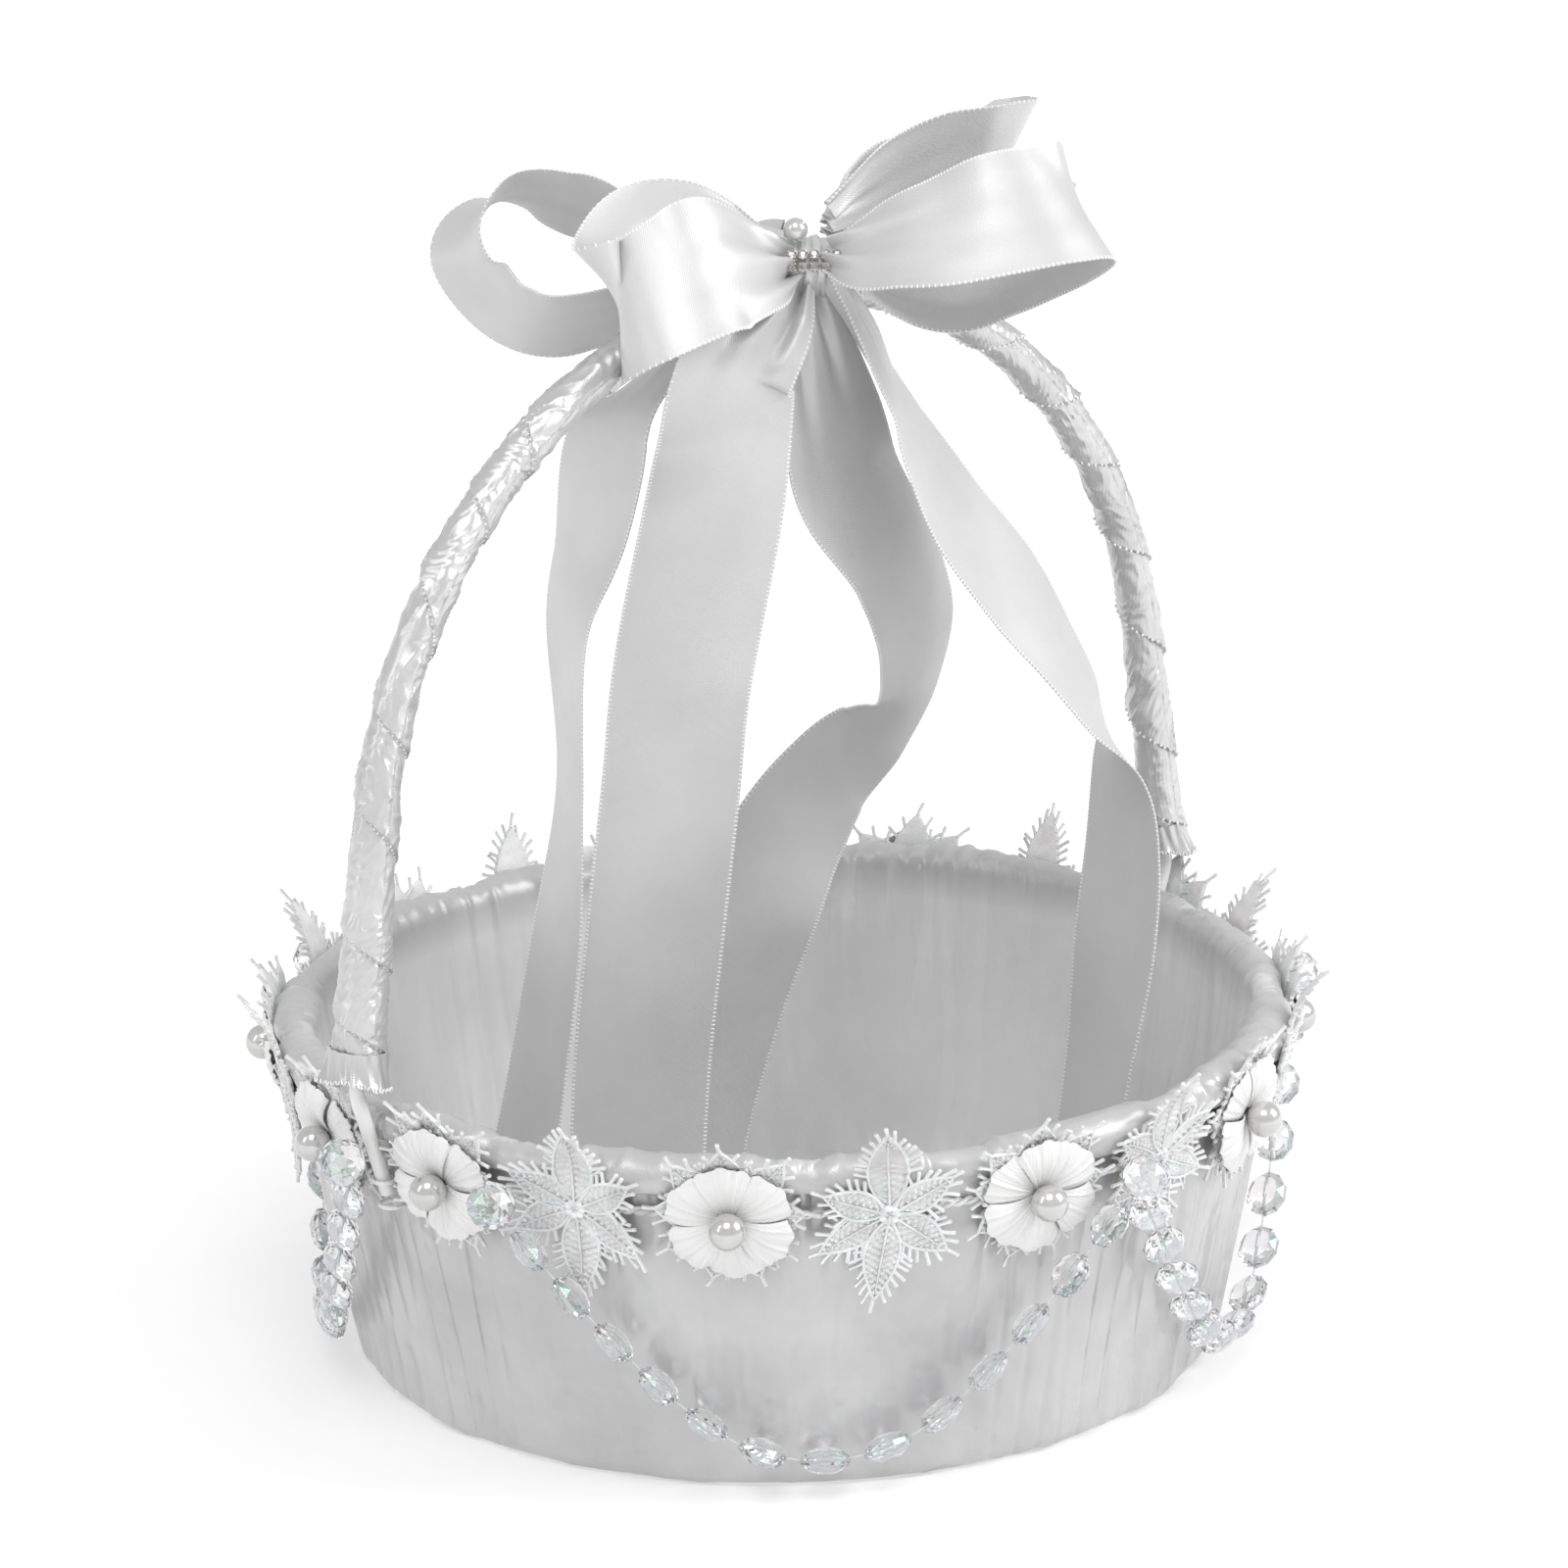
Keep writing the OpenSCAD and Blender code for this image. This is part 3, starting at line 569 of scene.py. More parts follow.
swag_objects = []
for k, turn in enumerate(SWAG_TURNS, 1):
    own = spin(STRAND, math.radians(turn))
    line = own * MM
    curve = bpy.data.curves.new(f"swag_thread_{k}_line", "CURVE")
    curve.dimensions = "3D"
    curve.bevel_depth = 0.00025
    curve.bevel_resolution = 3
    curve.use_fill_caps = True
    spline = curve.splines.new("POLY")
    spline.points.add(len(line) - 1)
    spline.points.foreach_set("co", np.concatenate([line, np.ones((len(line), 1))], 1).ravel())
    curve.materials.append(NYLON)
    thread = bpy.data.objects.new(f"nylon_thread_{k}", curve)
    scene.collection.objects.link(thread)
    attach(thread, f"swag_{k}")
    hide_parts(f"swag_thread_{k}")

    strand = Piece()
    rng = np.random.default_rng(40 + k)
    total = STRAND_RUN[-1]
    pitch = (total - 2 * END_GAP) / (BEADS - 1)
    direction = unit(np.gradient(own, axis=0))
    for i in range(BEADS):
        s = END_GAP + pitch * i
        at = np.array([np.interp(s, STRAND_RUN, own[:, c]) for c in range(3)])
        t = unit(np.array([np.interp(s, STRAND_RUN, direction[:, c]) for c in range(3)]))
        out = unit(np.array([at[0], at[1], 0.0]))
        lie = {1: 72, 2: 35 + 45 * i / (BEADS - 1), 5: 16}.get(k, 55)
        tilt = math.radians(lie + rng.normal(0, 11))
        n0 = unit(out - t * (out @ t))
        side = np.cross(t, n0)
        n = math.cos(tilt) * n0 + math.sin(tilt) * side
        side = np.cross(n, t)
        gem(strand, at, t * 5.35, side * 4.9, n * 2.7)
    beads = strand.made(f"cut_beads_{k}", GLASS, f"swag_beads_{k}", f"swag_{k}", smooth=False)
    swag_objects.append(thread)

# ---------------------------------------------------------------- satin bowl
rng = np.random.default_rng(11)
around = circle(1440)[:, None]


def gathers(seed, height, fine, broad, sharp):
    """Depth of vertical gathers at an angle (rows) and height share from 0 to 1 (columns)."""
    r = np.random.default_rng(seed)
    a = ripple(r, 9, 26, 6, around, height, 1.2)
    b = ripple(r, 28, 60, 7, around, height, 1.8)
    c = ripple(r, 80, 130, 7, around, height, 2.4)
    patch = 0.55 + 0.45 * np.tanh(1.6 * ripple(r, 2, 9, 4, around, height, 1.3))
    crease = 1 - np.sqrt(np.tanh(a * 0.9) ** 2 + 0.02)
    small = 1 - np.sqrt(np.tanh(b) ** 2 + 0.03)
    tiny = 0.5 + 0.5 * np.tanh(c)
    return broad * (0.5 * crease + 0.25 * a) + sharp * patch * small + fine * patch * tiny


def skin(name, node, material, r, z, depth, thickness):
    """A gathered skin around the wall on a profile of r and z: depth moves it to the profile's left."""
    dr, dz = np.gradient(r, axis=1), np.gradient(z, axis=1)
    size = np.hypot(dr, dz)
    out_r, out_z = -dz / size, dr / size

    def surface(off):
        rr, zz = r + off * out_r, np.maximum(z + off * out_z, 0.15)
        return polar(rr, around, zz)

    run = np.cumsum(size, axis=1)
    uv = joined(around * 0.103, run * MM)
    p = Piece()
    p.shell(surface(depth), surface(depth - thickness), uv, wrap=True)
    return p.made(name, material, node)


# Outside: from under the rim down to the base's edge, where the cloth turns under
share = np.linspace(1, 0, 60)[None, :]
z = 0.25 + share * 73
edge = np.exp(-z / 5)
scallop = 0.5 + 0.5 * np.tanh(1.2 * ripple(rng, 12, 44, 7, around))
z = z + 1.1 * scallop * edge
depth = gathers(3, share, 0.07, 2.9, 1.1) * (0.5 + 0.5 * share) * (1 - 0.5 * edge)
depth = np.maximum(depth + 0.25 * np.exp(-(1 - share) * 7) * ripple(rng, 120, 190, 6, around) - 0.45, -0.55)
radius = wall_r(z) - 0.12 - 1.7 * np.clip(1 - z / 2.6, 0, 1) ** 2
outer = skin("outer_satin_cover", "outer_satin", COVER, radius, z, -depth, -0.35)

# Inside: up the wall and over the rim's roll, where its gathers end in small puckers
share = np.linspace(0, 1, 54)[None, :]
turn_over = np.linspace(math.radians(172), math.radians(-38), 16)[None, 1:]
rise = LINING_FOOT + share * LINING_RISE
z = np.concatenate([rise, ROLL_Z + ROLL_SKIN_R * np.sin(turn_over)], 1)
r_wall = wall_r(rise) - LINING_OFF - 2.0 * (1 - share) ** 8 - 1.7 * share ** 4
radius = np.concatenate([r_wall, ROLL_R + ROLL_SKIN_R * np.cos(turn_over)], 1)
share = np.linspace(0, 1, 69)[None, :]
over = np.clip((share - 0.75) / 0.25, 0, 1)
depth = gathers(8, 1 - share, 0.04, 3.8, 1.1) * (0.2 + 0.8 * share ** 1.4) * (1 - 0.62 * over)
pinch = bell(share - 0.9, 0.11) * (0.55 + 0.45 * np.tanh(2 * ripple(rng, 3, 11, 4, around)))
depth = depth + 0.26 * pinch * np.tanh(1.3 * ripple(rng, 70, 150, 9, around, share * 7, 1.6))
depth = np.maximum(depth + 0.1 + 0.45 * over * ripple(rng, 7, 19, 5, around), -0.25)
lining = skin("lining_satin_cloth", "lining_satin", LINING, radius, z, depth, 0.3)

# Rolled rim: a soft tube with small slanted puckers
ring = circle(1680)[:, None]
turn = circle(26)[None, :]
pucker = ripple(rng, 90, 170, 8, ring, np.cos(turn + 0.6), 1.1)
pucker2 = ripple(rng, 200, 320, 8, ring, np.cos(turn - 0.4), 1.6)
wave = ripple(rng, 5, 17, 5, ring)
r = ROLL_BODY_R + 0.17 * np.tanh(pucker * 1.2) + 0.08 * pucker2 + 0.22 * wave
centre_r = ROLL_R + 0.45 * ripple(rng, 3, 12, 4, ring)
centre_z = ROLL_Z + 0.4 * ripple(rng, 4, 14, 4, ring)
pts = polar(centre_r + r * np.cos(turn), ring, centre_z + r * np.sin(turn))
uv = joined(ring * 0.107, turn * 0.0036)
p = Piece()
p.put(pts, quads(1680, 26, True, True), uv)
binding = p.made("rolled_rim", BINDING, "rim_binding")

# Padded floor: a wadded disc, pulled down by its edge and a few stitched dimples
n_r, n_a = 60, 360
q = np.linspace(0, 1, n_r)[:, None]
a = circle(n_a)[None, :]
dimples = 0
for x0, y0 in [(0, 0), (46, 0), (-46, 0), (0, 46), (0, -46)]:
    dimples = dimples + np.exp(-((q * 90.5 * np.cos(a) - x0) ** 2 + (q * 90.5 * np.sin(a) - y0) ** 2) / 60)
edge = bell(1 - q, 0.06)
height = FLOOR_Z + 0.1 - 0.9 * dimples - 0.5 * edge
height = height + (0.28 * ripple(rng, 30, 60, 6, a, q, 3.0) * q ** 2
                   + 0.16 * ripple(rng, 4, 12, 5, a, q * 6, 2.0) * q)
disc = polar(q * FLOOR_R, a, height)
under = disc.copy()
under[..., 2] = 3.45
uv = disc[..., :2] * MM
p = Piece()
p.shell(*(np.swapaxes(grid, 0, 1) for grid in (disc, under, uv)), wrap=True)
pad = p.made("padded_floor", LINING, "lining_floor")

# ---------------------------------------------------------------- handle
leg_top = np.array([ARCH_R * math.cos(SPLAY), ARCH_Z + ARCH_R * math.sin(SPLAY)])


def leg(z):
    return np.array([leg_top[0] + (leg_top[1] - z) * math.tan(SPLAY), z])


bend_at = leg(BEND_Z) - BEND_R * np.array([math.cos(SPLAY), math.sin(SPLAY)])
toe_top = bend_at + BEND_R * np.array([math.cos(TOE), -math.sin(TOE)])


def toe(z):
    return np.array([toe_top[0] - (toe_top[1] - z) * math.tan(TOE), z])


half = [[ARCH_R * math.cos(t), ARCH_Z + ARCH_R * math.sin(t)]
        for t in np.linspace(math.pi / 2, SPLAY, 60)] + [leg(z) for z in np.linspace(135, WRAP_END_Z, 20)]


def whole(points):
    left = [[-x, 0, z] for x, z in points[:0:-1]]
    return np.array(left + [[x, 0, z] for x, z in points])


line, s = even(whole(half), 0.42)
t = unit(np.gradient(line, axis=0))
u = np.broadcast_to(np.array([0, -1.0, 0]), line.shape)
w = np.cross(t, u)
ang = circle(72)[None, :]
S = s[:, None]
mid = s[-1] / 2
hand = np.where(S < mid, 1.0, -1.0)
rng = np.random.default_rng(5)


def along_noise(count, low, high, x, extra=0.0, drift=1.0):
    total = 0
    for _ in range(count):
        total = total + np.cos(TAU * x / rng.uniform(low, high) + rng.uniform(0, 6.283)
                               + rng.normal(0, drift) * extra)
    return total / math.sqrt(count / 2)


phase = (np.abs(S - mid) + 2.2 * along_noise(3, 40, 90, S)) / WRAP_TURN - hand * ang / TAU
share_w = phase - np.floor(phase)
step = 0.85 * share_w ** 1.5 - 0.28 * bell(share_w, 0.05)
fold = np.cos(TAU * (phase * 2 + 0.22 * along_noise(3, 18, 50, S, ang, 1.0)))
small = np.cos(TAU * (phase * 5 + 0.3 * along_noise(3, 9, 25, S, ang, 1.5)))
gate = 0.5 + 0.5 * np.tanh(along_noise(4, 14, 45, S, ang, 0.8))
to_foot = np.clip(1 - np.minimum(S, s[-1] - S) / 85, 0, 1)
foot = np.where(S < mid, 1.35, 0.5) * to_foot ** 1.2
slant = np.cos(TAU * (phase * 1.5 + 0.5 * along_noise(3, 16, 40, S, ang, 1.2)))
crease = 1 - np.sqrt(np.tanh(2.2 * slant) ** 2 + 0.01)
r = WRAP_R + foot + 0.75 * step + 0.26 * fold * gate + 0.42 * crease * (0.4 + 0.6 * gate)
r = r + 0.08 * small * (1 - 0.5 * gate) + 0.06 * along_noise(4, 9, 20, S, ang, 1.0)
body = line[:, None] + r[..., None] * spoke(ang, u[:, None], w[:, None])
uv = joined(phase * WRAP_TURN * MM, S * MM)
p = Piece()
p.put(body, quads(len(s), 72, wrap_m=True), uv)
p.made("wound_ribbon", WRAP, "handle_wrap")

# Its stitched selvedge runs where the phase passes a whole number
cross = (share_w[:, :-1] > 0.8) & (share_w[:, 1:] < 0.2) | (share_w[:, :-1] < 0.2) & (share_w[:, 1:] > 0.8)
rows, cols = np.nonzero(cross)
keep = np.arange(0, len(rows), 2)
rows, cols = rows[keep], cols[keep]
centres = body[rows, cols]
normal = unit(centres - line[rows])
axes = np.stack([t[rows] * 0.42, np.cross(t[rows], normal) * 0.3, normal * 0.32], 1)
p = Piece()
p.dots(centres + normal * 0.05, axes)
p.made("wound_ribbon_selvedge", SELVEDGE)

# Rod: the ends run down from the wrap to the wall
rod_half = half + [list(bend_at + BEND_R * np.array([math.cos(a), math.sin(a)]))
                   for a in np.linspace(SPLAY, -TOE, 10)] + [toe(z) for z in (72, 67, 62, 58)]
rod_line, _ = even(whole(rod_half), 2.0)
p = Piece()
wob = ROD_R + 0.04 * np.cos(np.arange(len(rod_line)) * 1.7) + 0.03 * np.cos(np.arange(len(rod_line)) * 0.61)
p.tube(rod_line, wob, 20)
p.made("coated_rod", ROD, "handle_core")

# Flared, cut ends of the wrap with a zigzag of stitches
for side, node in ((-1, "wrap_end_left"), (1, "wrap_end_right")):
    n_s, n_c = 34, 120
    q = np.linspace(0, 1, n_s)[None, :]
    c = circle(n_c)[:, None]
    top, low = leg(91.5), leg(84.6)
    axis = unit(np.array([side * (low[0] - top[0]), 0, low[1] - top[1]]))
    base = np.array([side * top[0], 0, top[1]])
    e1 = np.array([0, -1.0, 0])
    e2 = np.cross(axis, e1)
    wavy = 0.55 * np.cos(3 * c + 1.0 * side) + 0.35 * np.cos(5 * c + 2) + 0.2 * np.cos(9 * c)
    rr = (6.3 if side < 0 else 5.2) + 1.5 * q ** 1.8 + wavy * q ** 1.3 * 0.9
    rr = rr + 0.22 * np.cos(14 * c + 3 * q) * (1 - 0.4 * q)
    drop = 8.6 * q + q ** 2 * (2.0 * np.cos(c + 2.2) + 0.35 * np.cos(4 * c))
    ring_out = base + drop[..., None] * axis + rr[..., None] * spoke(c, e1, e2)
    ring_in = ring_out - 0.4 * spoke(c, e1, e2)
    uv = joined(c * 0.0055, drop * MM)
    p = Piece()
    p.shell(ring_out, ring_in, uv, wrap=True)
    spots = np.arange(0, n_c, 2)
    at = ring_out[spots, -1]
    rad = spoke(c[spots, 0], e1, e2)
    tilt = np.where(np.arange(len(spots)) % 2 == 0, 0.5, -0.5)[:, None]
    tang = np.cross(rad, axis)
    long = unit(axis + tilt * tang)
    p.dots(at - axis * 0.5, np.stack([long * 0.6, np.cross(long, rad) * 0.18, rad * 0.26], 1), slot=1)
    p.made(f"{node}_flare", [WRAP, SELVEDGE], node)

# ---------------------------------------------------------------- bow
def make_ribbon(name, stations, seed):
    r = np.random.default_rng(seed)
    centre = catmull([st[0] for st in stations], 16)
    across = catmull([list(unit(np.array(st[1], float))) for st in stations], 16)
    width = catmull([[st[2]] for st in stations], 16)
    centre, across, width, s = even(centre, 0.9, across, width)
    t = unit(np.gradient(centre, axis=0))
    across = unit(across - t * (across * t).sum(1, keepdims=True))
    normal = np.cross(t, across)
    m = 29
    v = np.linspace(-1, 1, m)[None, :]
    squeeze = np.clip(1 - width / FULL, 0, 1)
    S = s[:, None]
    pleat = squeeze * (2.3 * np.cos(2.5 * math.pi * v + 0.4)
                       + 0.8 * np.cos(5 * math.pi * v + r.uniform(0, 6)))
    hung = name.startswith("bow_tail")
    spread = np.exp(-(S if hung else np.minimum(S, S[::-1])) / 42)
    pleat = pleat + 0.16 * spread * np.cos(3.2 * math.pi * v + r.uniform(0, 6)) * (1 - squeeze)
    curl = 0.55 * (v ** 2 - 0.33) * np.cos(S / r.uniform(34, 52) + r.uniform(0, 6))
    soft = sum(r.uniform(0.08, 0.22)
               * np.cos(S / r.uniform(9, 26) + v * r.uniform(-2.4, 2.4) + r.uniform(0, 6))
               for _ in range(5))
    lift = pleat + (curl + 0.7 * soft) * (1 - squeeze)
    pts = centre[:, None] + across[:, None] * (v * width / 2)[..., None] + normal[:, None] * lift[..., None]
    du, dv = np.gradient(pts, axis=0), np.gradient(pts, axis=1)
    n = unit(np.cross(du, dv))
    uv = joined(v * 0.015, S * MM)
    p = Piece()
    p.shell(to_object(pts + n * CLOTH / 2), to_object(pts - n * CLOTH / 2), uv)
    cloth = p.made(f"{name}_satin", RIBBON, name)
    # Stitched selvedge along both edges
    e = Piece()
    run = run_of(centre)
    at = np.arange(0.5, run[-1] - 0.3, 0.95)
    for col, out in ((0, -1), (m - 1, 1)):
        pick = lambda arr: np.stack([np.interp(at, run, arr[:, k]) for k in range(3)], 1)
        c = pick(pts[:, col])
        side = unit(pick(pts[:, col] - pts[:, col - out]))
        nn = unit(pick(n[:, col]))
        tt = np.cross(nn, side)
        e.dots(to_object(c - side * 0.3), to_object(np.stack([side * 0.55, tt * 0.26, nn * 0.27], 1)))
    stitches = e.made(f"{name}_selvedge", SELVEDGE)


for seed, (name, stations) in enumerate(RIBBONS.items(), 21):
    make_ribbon(name, stations, seed)

# Knot: a band cinched around the middle, its creases run around it
n_x, n_a = 46, 120
x = np.linspace(-7.2, 7.2, n_x)[:, None]
a = circle(n_a)[None, :]
r = 4.6 + 2.3 * np.clip(np.cos(math.pi * x / 16.5), 0, 1) ** 0.6
r = r + 0.32 * np.cos(TAU * (x + 0.8 * np.sin(a + 0.5)) / 2.9)
r = r + 0.16 * np.cos(TAU * x / 1.3 + 2 * np.sin(2 * a))
r = r * (1 + 0.05 * np.cos(2 * a + 0.8))
pts = joined(x, r * np.cos(a), r * np.sin(a)) + KNOT
inside = joined(x, r * 0.45 * np.cos(a), r * 0.45 * np.sin(a)) + KNOT
uv = joined(x * MM, a * 0.007)
p = Piece()
p.shell(*(np.swapaxes(grid, 0, 1) for grid in (to_object(pts), to_object(inside), uv)), wrap=True)
p.made("cinched_knot", RIBBON, "bow_knot")


def on_knot(x, up, out):
    """A point on the knot's skin and its normal, in the bow's frame."""
    up = math.radians(up)
    n = np.array([0, -math.cos(up), math.sin(up)])
    return KNOT + np.array([x, 0, 0]) + n * (7.5 + out), n


def pearl(piece, centre, radius, normal):
    """A pearl with its drilled hole towards the normal."""
    n_t, n_p = 28, 40
    n = unit(normal)
    e1 = unit(np.cross(n, [0.3, 0.5, 0.81]))
    e2 = np.cross(n, e1)
    th = np.linspace(0.02, math.pi - 0.02, n_t)[:, None]
    ph = circle(n_p)[None, :]
    r = radius * (1 - 0.16 * bell(th, 0.10) + 0.004 * np.cos(3 * ph + 2 * th))
    v = centre + r[..., None] * (np.sin(th)[..., None] * spoke(ph, e1, e2) + np.cos(th)[..., None] * n)
    v = np.concatenate([v.reshape(-1, 3), [v[0].mean(0)], [v[-1].mean(0)]])
    k = np.arange(n_p)
    caps = np.concatenate([np.stack([np.full(n_p, n_t * n_p), k, (k + 1) % n_p], 1),
                           np.stack([np.full(n_p, n_t * n_p + 1), (n_t - 1) * n_p + (k + 1) % n_p,
                                     (n_t - 1) * n_p + k], 1)])
    piece.put(v, [quads(n_t, n_p, wrap_m=True), caps])


p = Piece()
c, n = on_knot(-2, 62, KNOT_PEARL_R)
pearl(p, to_object(c), KNOT_PEARL_R, to_object(n + np.array([0.9, 0, 0])))
p.made("knot_pearl", PEARL, "bow_pearl")

p = Piece()
STONE_RINGS = [(0.5, 1.0, 0.0), (0.8, 0.62, 0.5), (1.0, 0.1, 0.0), (0.7, -0.3, 0.0)]
for row in range(2):
    for i in range(5):
        c, n = on_knot(-3 + 2.4 * i, 12 + 18 * row, 0.35)
        e1 = np.array([1.0, 0, 0])
        e2 = np.cross(n, e1)
        gem(p, to_object(c + n * 0.35), to_object(e1) * 0.98, to_object(e2) * 0.98, to_object(n) * 0.85, 8,
            STONE_RINGS, slot=1)
        a = circle(24)
        cup = c + 1.02 * spoke(a, e1, e2)
        p.dots(to_object(cup + n * 0.1), to_object(np.stack([np.cross(n, unit(cup - c)) * 0.26,
               unit(cup - c) * 0.14, np.broadcast_to(n, cup.shape) * 0.5], 1)))
        prongs = c + 0.98 * spoke(np.array([0.8, 2.35, 3.9, 5.5]), e1, e2)
        p.dots(to_object(prongs + n * 0.55), to_object(np.stack([unit(prongs - c) * 0.26,
               np.cross(n, unit(prongs - c)) * 0.26, np.broadcast_to(n, prongs.shape) * 0.4], 1)))
p.made("rhinestones", [SILVER, STONE], "rhinestone_row", smooth=True, sharp=22)

# ---------------------------------------------------------------- lace
def splay(y, z0, amount):
    """How far lace that stands above the rim bends out."""
    over = np.maximum(np.asarray(y) - (77 - z0), 0)
    return amount * over ** 1.35


def leaf(piece, phi, direction, length, width, lift, rng, hairs=9, bend=0.0, z0=LACE_Z, start=1.2, n=64):
    d = math.radians(direction)
    t = np.array([-1, -0.82, -0.5, -0.16, 0, 0.16, 0.5, 0.82, 1.0])[None, :]
    s = np.linspace(0, 1, n)[:, None]
    lean = rng.normal(0, 0.05)

    def outline(s):
        return width / 2 * np.sin(math.pi * np.clip(s, 0, 1) ** 0.86) ** 0.95 + 0.1

    def place(x, y, h):
        """Leaf coordinates to the wall: x along, y across."""
        y = y + lean * x ** 2 / length
        gx = math.cos(d) * (x + start) - math.sin(d) * y
        gy = math.sin(d) * (x + start) + math.cos(d) * y
        h = h + bend * ((x / length) ** 2) + splay(gy, z0, 0.13)
        return on_wall(gx, gy, h, phi, z0)

    hw = outline(s)
    rib = np.cos(TAU * (s * length - 0.75 * np.abs(t) * hw) / 1.5)
    dome = np.sqrt(np.clip(1 - 0.92 * t ** 2, 0, 1))
    vein = bell(t, 0.13)
    h = lift + 0.25 + 0.5 * dome + 0.42 * rib * (np.abs(t) > 0.05) * dome ** 0.4 - 0.5 * vein * (1 - 0.4 * s)
    top = place(s * length + 0 * t, t * hw, h)
    low = place(s * length + 0 * t, t * hw, np.full(h.shape, lift - 0.1))
    uv = joined(t * hw * MM, s * length * MM)
    piece.shell(top, low, uv)
    # Corded outline
    ss = np.linspace(0, 1, 30)
    edge_x = np.concatenate([ss, ss[::-1]]) * length
    edge_y = np.concatenate([outline(ss), -outline(ss[::-1])])
    piece.tube(place(edge_x, edge_y, np.full(60, lift + 0.5)), 0.38, 5)
    # Vein and picots
    vx = np.linspace(-0.06, 0.9, 12) * length
    piece.tube(place(vx, 0 * vx, np.full(12, lift + 0.86)), np.linspace(0.3, 0.16, 12), 5)
    for k in range(hairs):
        q = (k + 0.5) / hairs * 2 - 1
        at = 1 - 0.62 * abs(q) ** 0.9
        side = math.copysign(1, q) if abs(q) > 0.07 else 0
        x0, y0 = at * length, side * float(outline(at))
        open_a = math.radians(74) * abs(q) ** 0.8 * (1 if q > 0 else -1) + rng.normal(0, 0.13)
        reach = rng.uniform(2.2, 3.4)
        u = np.linspace(0, 1, 5)
        hook = rng.normal(0, 0.28)
        hx = x0 + u * reach * math.cos(open_a) - hook * u ** 2 * math.sin(open_a)
        hy = y0 + u * reach * math.sin(open_a) + hook * u ** 2 * math.cos(open_a)
        hh = lift + 0.35 + rng.uniform(-0.2, 0.9) * u
        piece.tube(place(hx, hy, hh), np.array([0.48, 0.42, 0.40, 0.42, 0.47]), 6)


for i, phi in enumerate(SPRAYS, 1):
    rng = np.random.default_rng(100 + i)
    p = Piece()
    for j, (direction, length, width) in enumerate(SPRAY_LEAVES):
        leaf(p, phi, direction + rng.normal(0, 4), length - 2.2 + rng.normal(0, 0.5),
             width - 0.4 + rng.normal(0, 0.3), 2.0 + rng.uniform(0, 0.5), rng,
             hairs=15 if j in (0, 4) else 11, bend=rng.uniform(0.2, 2.4))
    # Knotted centre of the spray
    k = np.arange(9)
    cx, cy = 1.5 * np.cos(k * 0.9), 1.5 * np.sin(k * 0.9)
    at = on_wall(cx, cy, np.full(9, 2.9), phi, LACE_Z)
    out = unit(at * [1, 1, 0])
    upright = np.broadcast_to([0, 0, 0.95], out.shape)
    p.dots(at, np.stack([out * 0.6, np.cross(out, [0, 0, 1]) * 0.95, upright], 1))
    p.made(f"embroidered_spray_{i}", LACE, f"leaf_spray_{i}")

lace = Piece()
pearls = Piece()
for i, phi in enumerate(FLOWERS):
    rng = np.random.default_rng(200 + i)
    lift = FOOT_LIFT if i == FOOT_FLOWER else 0.0
    for k in range(9):
        direction = 90 + 40 * k + rng.normal(0, 3)
        tall = 17.5 if k in (0, 1, 8) else 15.0
        leaf(lace, phi, direction, tall - 3 + rng.normal(0, 0.4), 8.0, 1.9 + lift + (k % 2) * 0.35, rng,
             hairs=7, bend=rng.uniform(-0.1, 0.9), start=2.6, n=44)
    flower = Piece()
    twist = rng.uniform(-14, 14)
    for k in range(6):
        d = math.radians(60 * k + 30 + twist + rng.normal(0, 2.5))
        q = np.linspace(0, 1, 20)[:, None]
        v = np.linspace(-1, 1, 33)[None, :]
        pleats = 2.5 + (k % 2) * 0.5
        ridge = np.cos(TAU * v * pleats / 2 + 0.3 * k)
        sharp_ridge = 1 - np.abs(ridge) ** 0.7 * 2 * 0.9
        fine = np.cos(TAU * v * 4.5 + 1.3 * k) * q
        tip = 13.1 * (0.83 + 0.17 * np.sqrt(np.clip(1 - 0.93 * v ** 2, 0, 1))) + 0.3 * ridge
        rad = 1.6 + (tip - 1.6) * q
        half_angle = math.radians(33.5) * (1 - 0.06 * q)
        theta = d + v * half_angle
        cup = rng.uniform(0.7, 1.5)
        h = 3.2 + lift + 0.25 + 2.0 * np.sin(math.pi * 0.62 * q) * cup - 1.0 * cup * q ** 3
        h = h - 0.9 * v ** 4 * q + 0.24 * sharp_ridge * (0.4 + 0.6 * q) * (1 - 0.3 * v ** 2) + 0.35 * (k % 2)
        h = h + 0.13 * fine
        gx, gy = rad * np.cos(theta), rad * np.sin(theta)
        top = on_wall(gx, gy, h, phi, LACE_Z)
        low = on_wall(gx, gy, h - 0.32, phi, LACE_Z)
        uv = joined(v * rad * half_angle * MM, rad * MM)
        flower.shell(top, low, uv)
    flower.made(f"pleated_flower_{i + 1}", PETAL, f"satin_flower_{i + 1}")
    c = on_wall(0, 0, 7.6 + lift, phi, LACE_Z)
    n = np.array([math.cos(math.radians(phi)), math.sin(math.radians(phi)), -0.2])
    pearl(pearls, c, PEARL_R, np.array([-n[1], n[0], 0.3]))
lace.made("guipure_rosettes", LACE, "lace_rosettes")
pearls.made("flower_pearl_set", PEARL, "flower_pearls")

# Braid that links the motifs: two strands twisted around each other
p = Piece()
a = np.linspace(0, TAU, 1500)[:-1]
for side in (0, math.pi):
    tw = a * 130 + side
    rr = wall_r(LACE_Z) + 1.6 + 0.5 * np.cos(tw)
    z = LACE_Z + 0.5 * np.sin(tw)
    p.tube(polar(rr, a, z), 0.5, 6)
p.made("lace_braid", LACE, "lace_cord")

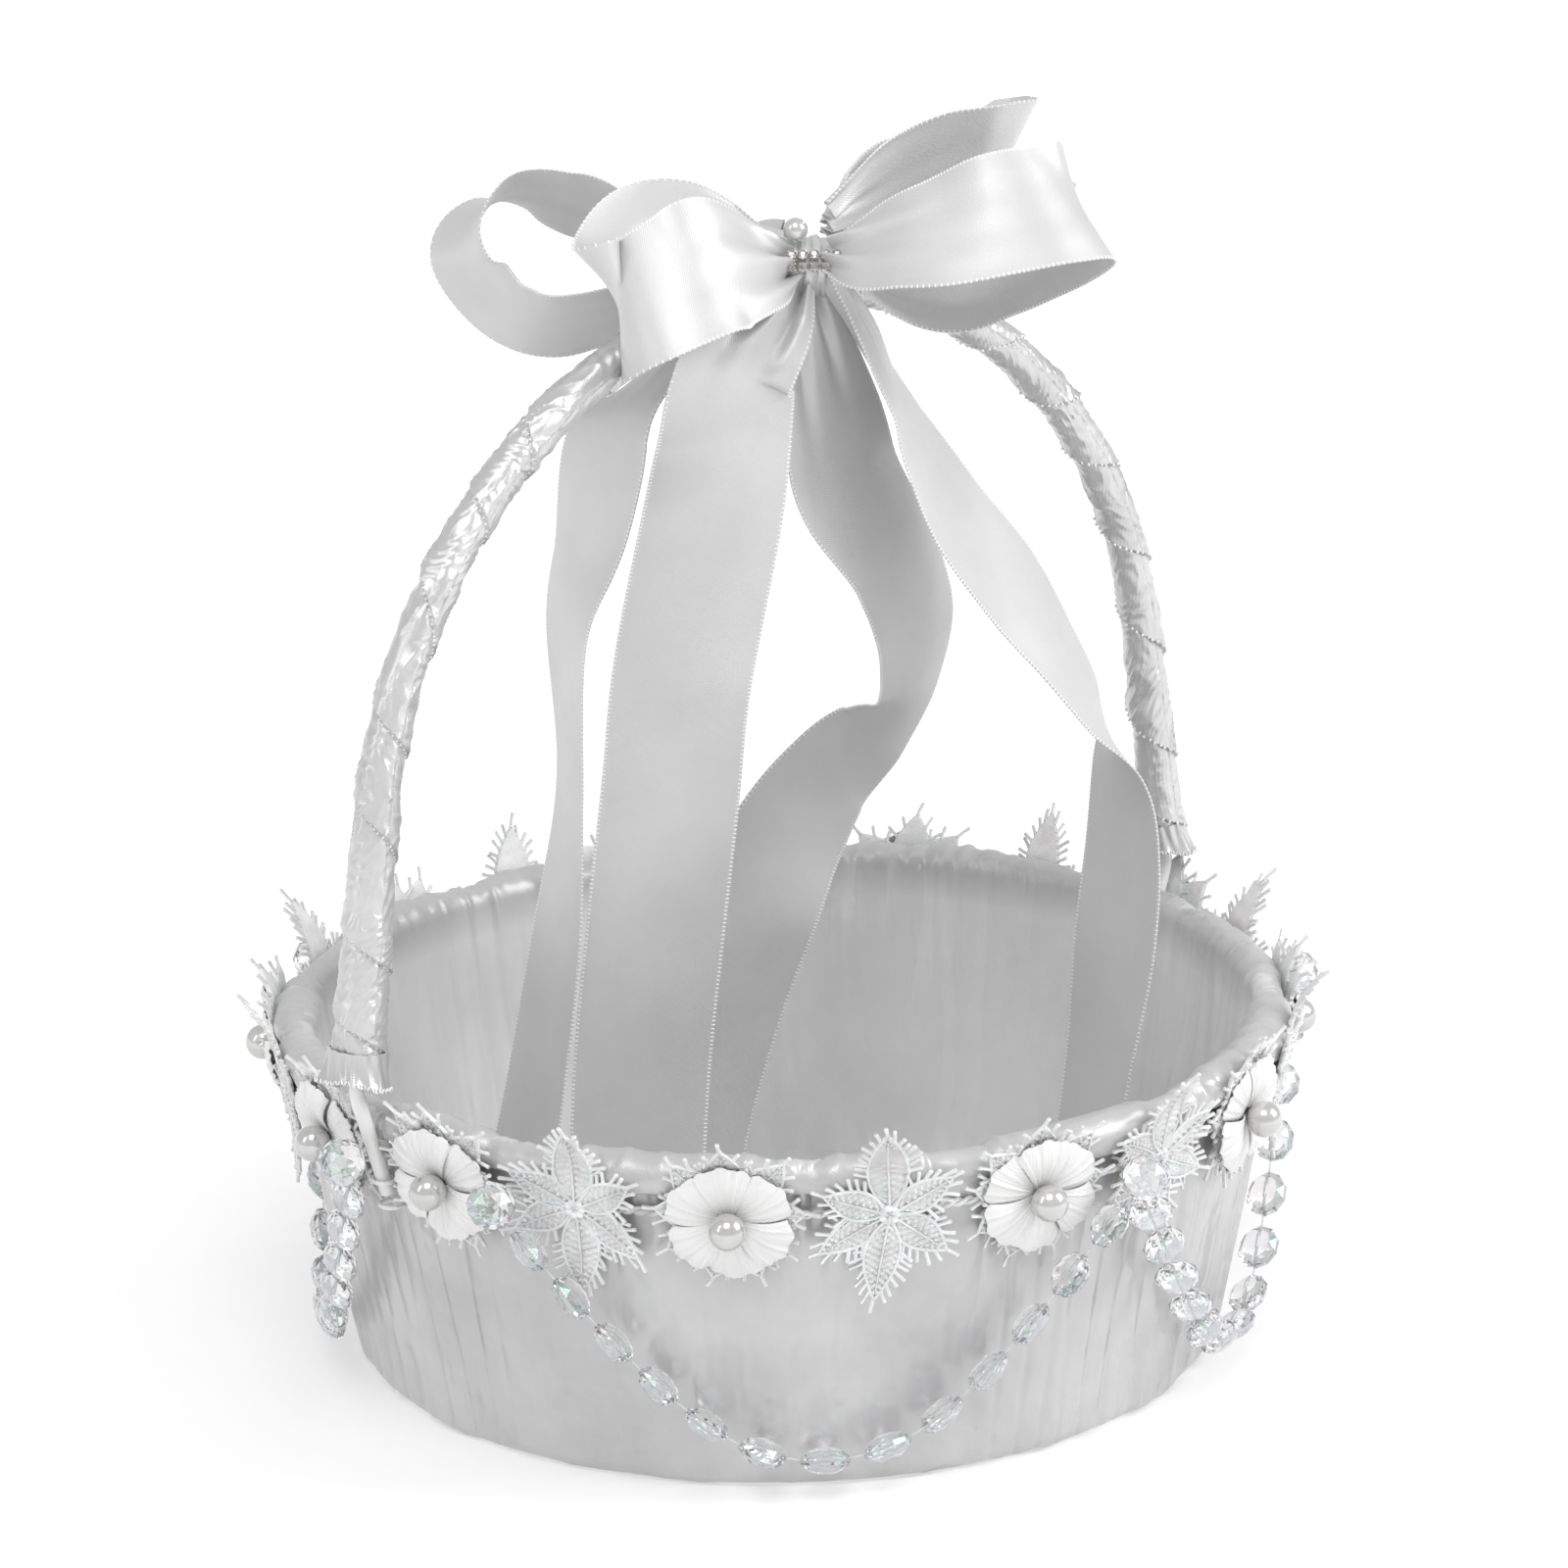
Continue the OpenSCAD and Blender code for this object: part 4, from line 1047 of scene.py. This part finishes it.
# Big cut crystals at the ties, each with its stitch
p = Piece()
CRYSTAL_RINGS = [(0.22, 0.98, 0.0), (0.66, 0.78, 0.5), (0.93, 0.36, 0.0), (1.0, 0.0, 0.5),
                 (0.93, -0.36, 0.0), (0.66, -0.78, 0.5), (0.22, -0.98, 0.0)]
for k, phi in enumerate(TIES):
    rng = np.random.default_rng(70 + k)
    out = polar(1.0, math.radians(phi), 0.0)
    c = out * (wall_r(TIE_Z) + TIE_OUT) + [0, 0, TIE_Z]
    side = np.array([-out[1], out[0], 0])
    tilt = rng.normal(0, 0.25)
    up = np.array([0, 0, 1.0])
    e1, e2 = math.cos(tilt) * side + math.sin(tilt) * up, -math.sin(tilt) * side + math.cos(tilt) * up
    gem(p, c, e1 * 5.25, out * 5.0, e2 * 5.0, 10, CRYSTAL_RINGS)
    begin = 6.0 if k == 5 else 1.9
    sq = np.linspace(0, 1, 6)
    stitch = np.stack([out * (wall_r(TIE_Z) + begin + (TIE_OUT - 4.4 - begin) * q)
                       + [0, 0, TIE_Z + 1.2 + 0.2 * math.sin(6 * q)] for q in sq])
    p.tube(stitch, 0.4, 8, slot=1)
p.made("tie_crystals", [GLASS, NYLON], "swag_crystals", smooth=False)

# ---------------------------------------------------------------- carried CAD nodes
for node, material in {"basket_wall": BOARD, "base_board": BOARD, "bottom_cover": PAPER, "rim_wire": STEEL,
                       "handle_ties": THREAD}.items():
    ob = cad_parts[node]
    ob.data.materials.clear()
    ob.data.materials.append(material)

# ---------------------------------------------------------------- studio
world = bpy.data.worlds.new("studio")
world.use_nodes = True
world.node_tree.nodes["Background"].inputs["Color"].default_value = (1, 1, 1, 1)
world.node_tree.nodes["Background"].inputs["Strength"].default_value = 0.74
scene.world = world
scene.view_settings.view_transform = "Standard"
scene.view_settings.look = "None"

m = Nodes("floor_paper", Specular_IOR_Level=0.1)
m.colour(m.noise(3), 0.58, 0.60)
far = m.add("ShaderNodeTexGradient", Vector=m.place(scale=(0.9, 0.9, 0.9)), is_gradient_type="SPHERICAL")
m.range(far.outputs["Fac"], 0.70, 0.38, "Emission Strength")
m.range(m.noise(8), 0.85, 0.95)
m.shader.inputs["Emission Color"].default_value = (1, 1, 1, 1)
floor_mesh = bpy.data.meshes.new("floor")
corners = [(8 * x, 8 * y, -0.0003) for x, y in ((-1, -1), (1, -1), (1, 1), (-1, 1))]
floor_mesh.from_pydata(corners, [], [(0, 1, 2, 3)])
floor_mesh.materials.append(m.material)
floor = bpy.data.objects.new("floor", floor_mesh)
scene.collection.objects.link(floor)


def softbox(name, azimuth, height, distance, size, watts):
    """A square light that faces the basket: azimuth is from the camera, to its right."""
    light = bpy.data.lights.new(name, "AREA")
    light.shape = "RECTANGLE"
    light.size, light.size_y, light.energy = size[0], size[1], watts
    a = AZIMUTH + math.radians(azimuth)
    at = Vector((math.sin(a) * distance, -math.cos(a) * distance, height))
    ob = bpy.data.objects.new(name, light)
    facing = (at - Vector((0, 0, 0.12))).to_track_quat("Z", "Y")
    ob.matrix_world = Matrix.Translation(at) @ facing.to_matrix().to_4x4()
    scene.collection.objects.link(ob)
    return ob


softbox("key", 80, 1.0, 1.4, (0.7, 0.8), 14)
softbox("fill", -60, 1.1, 1.6, (0.35, 1.1), 3)
softbox("top", -5, 1.9, 1.1, (1.0, 1.0), 14)
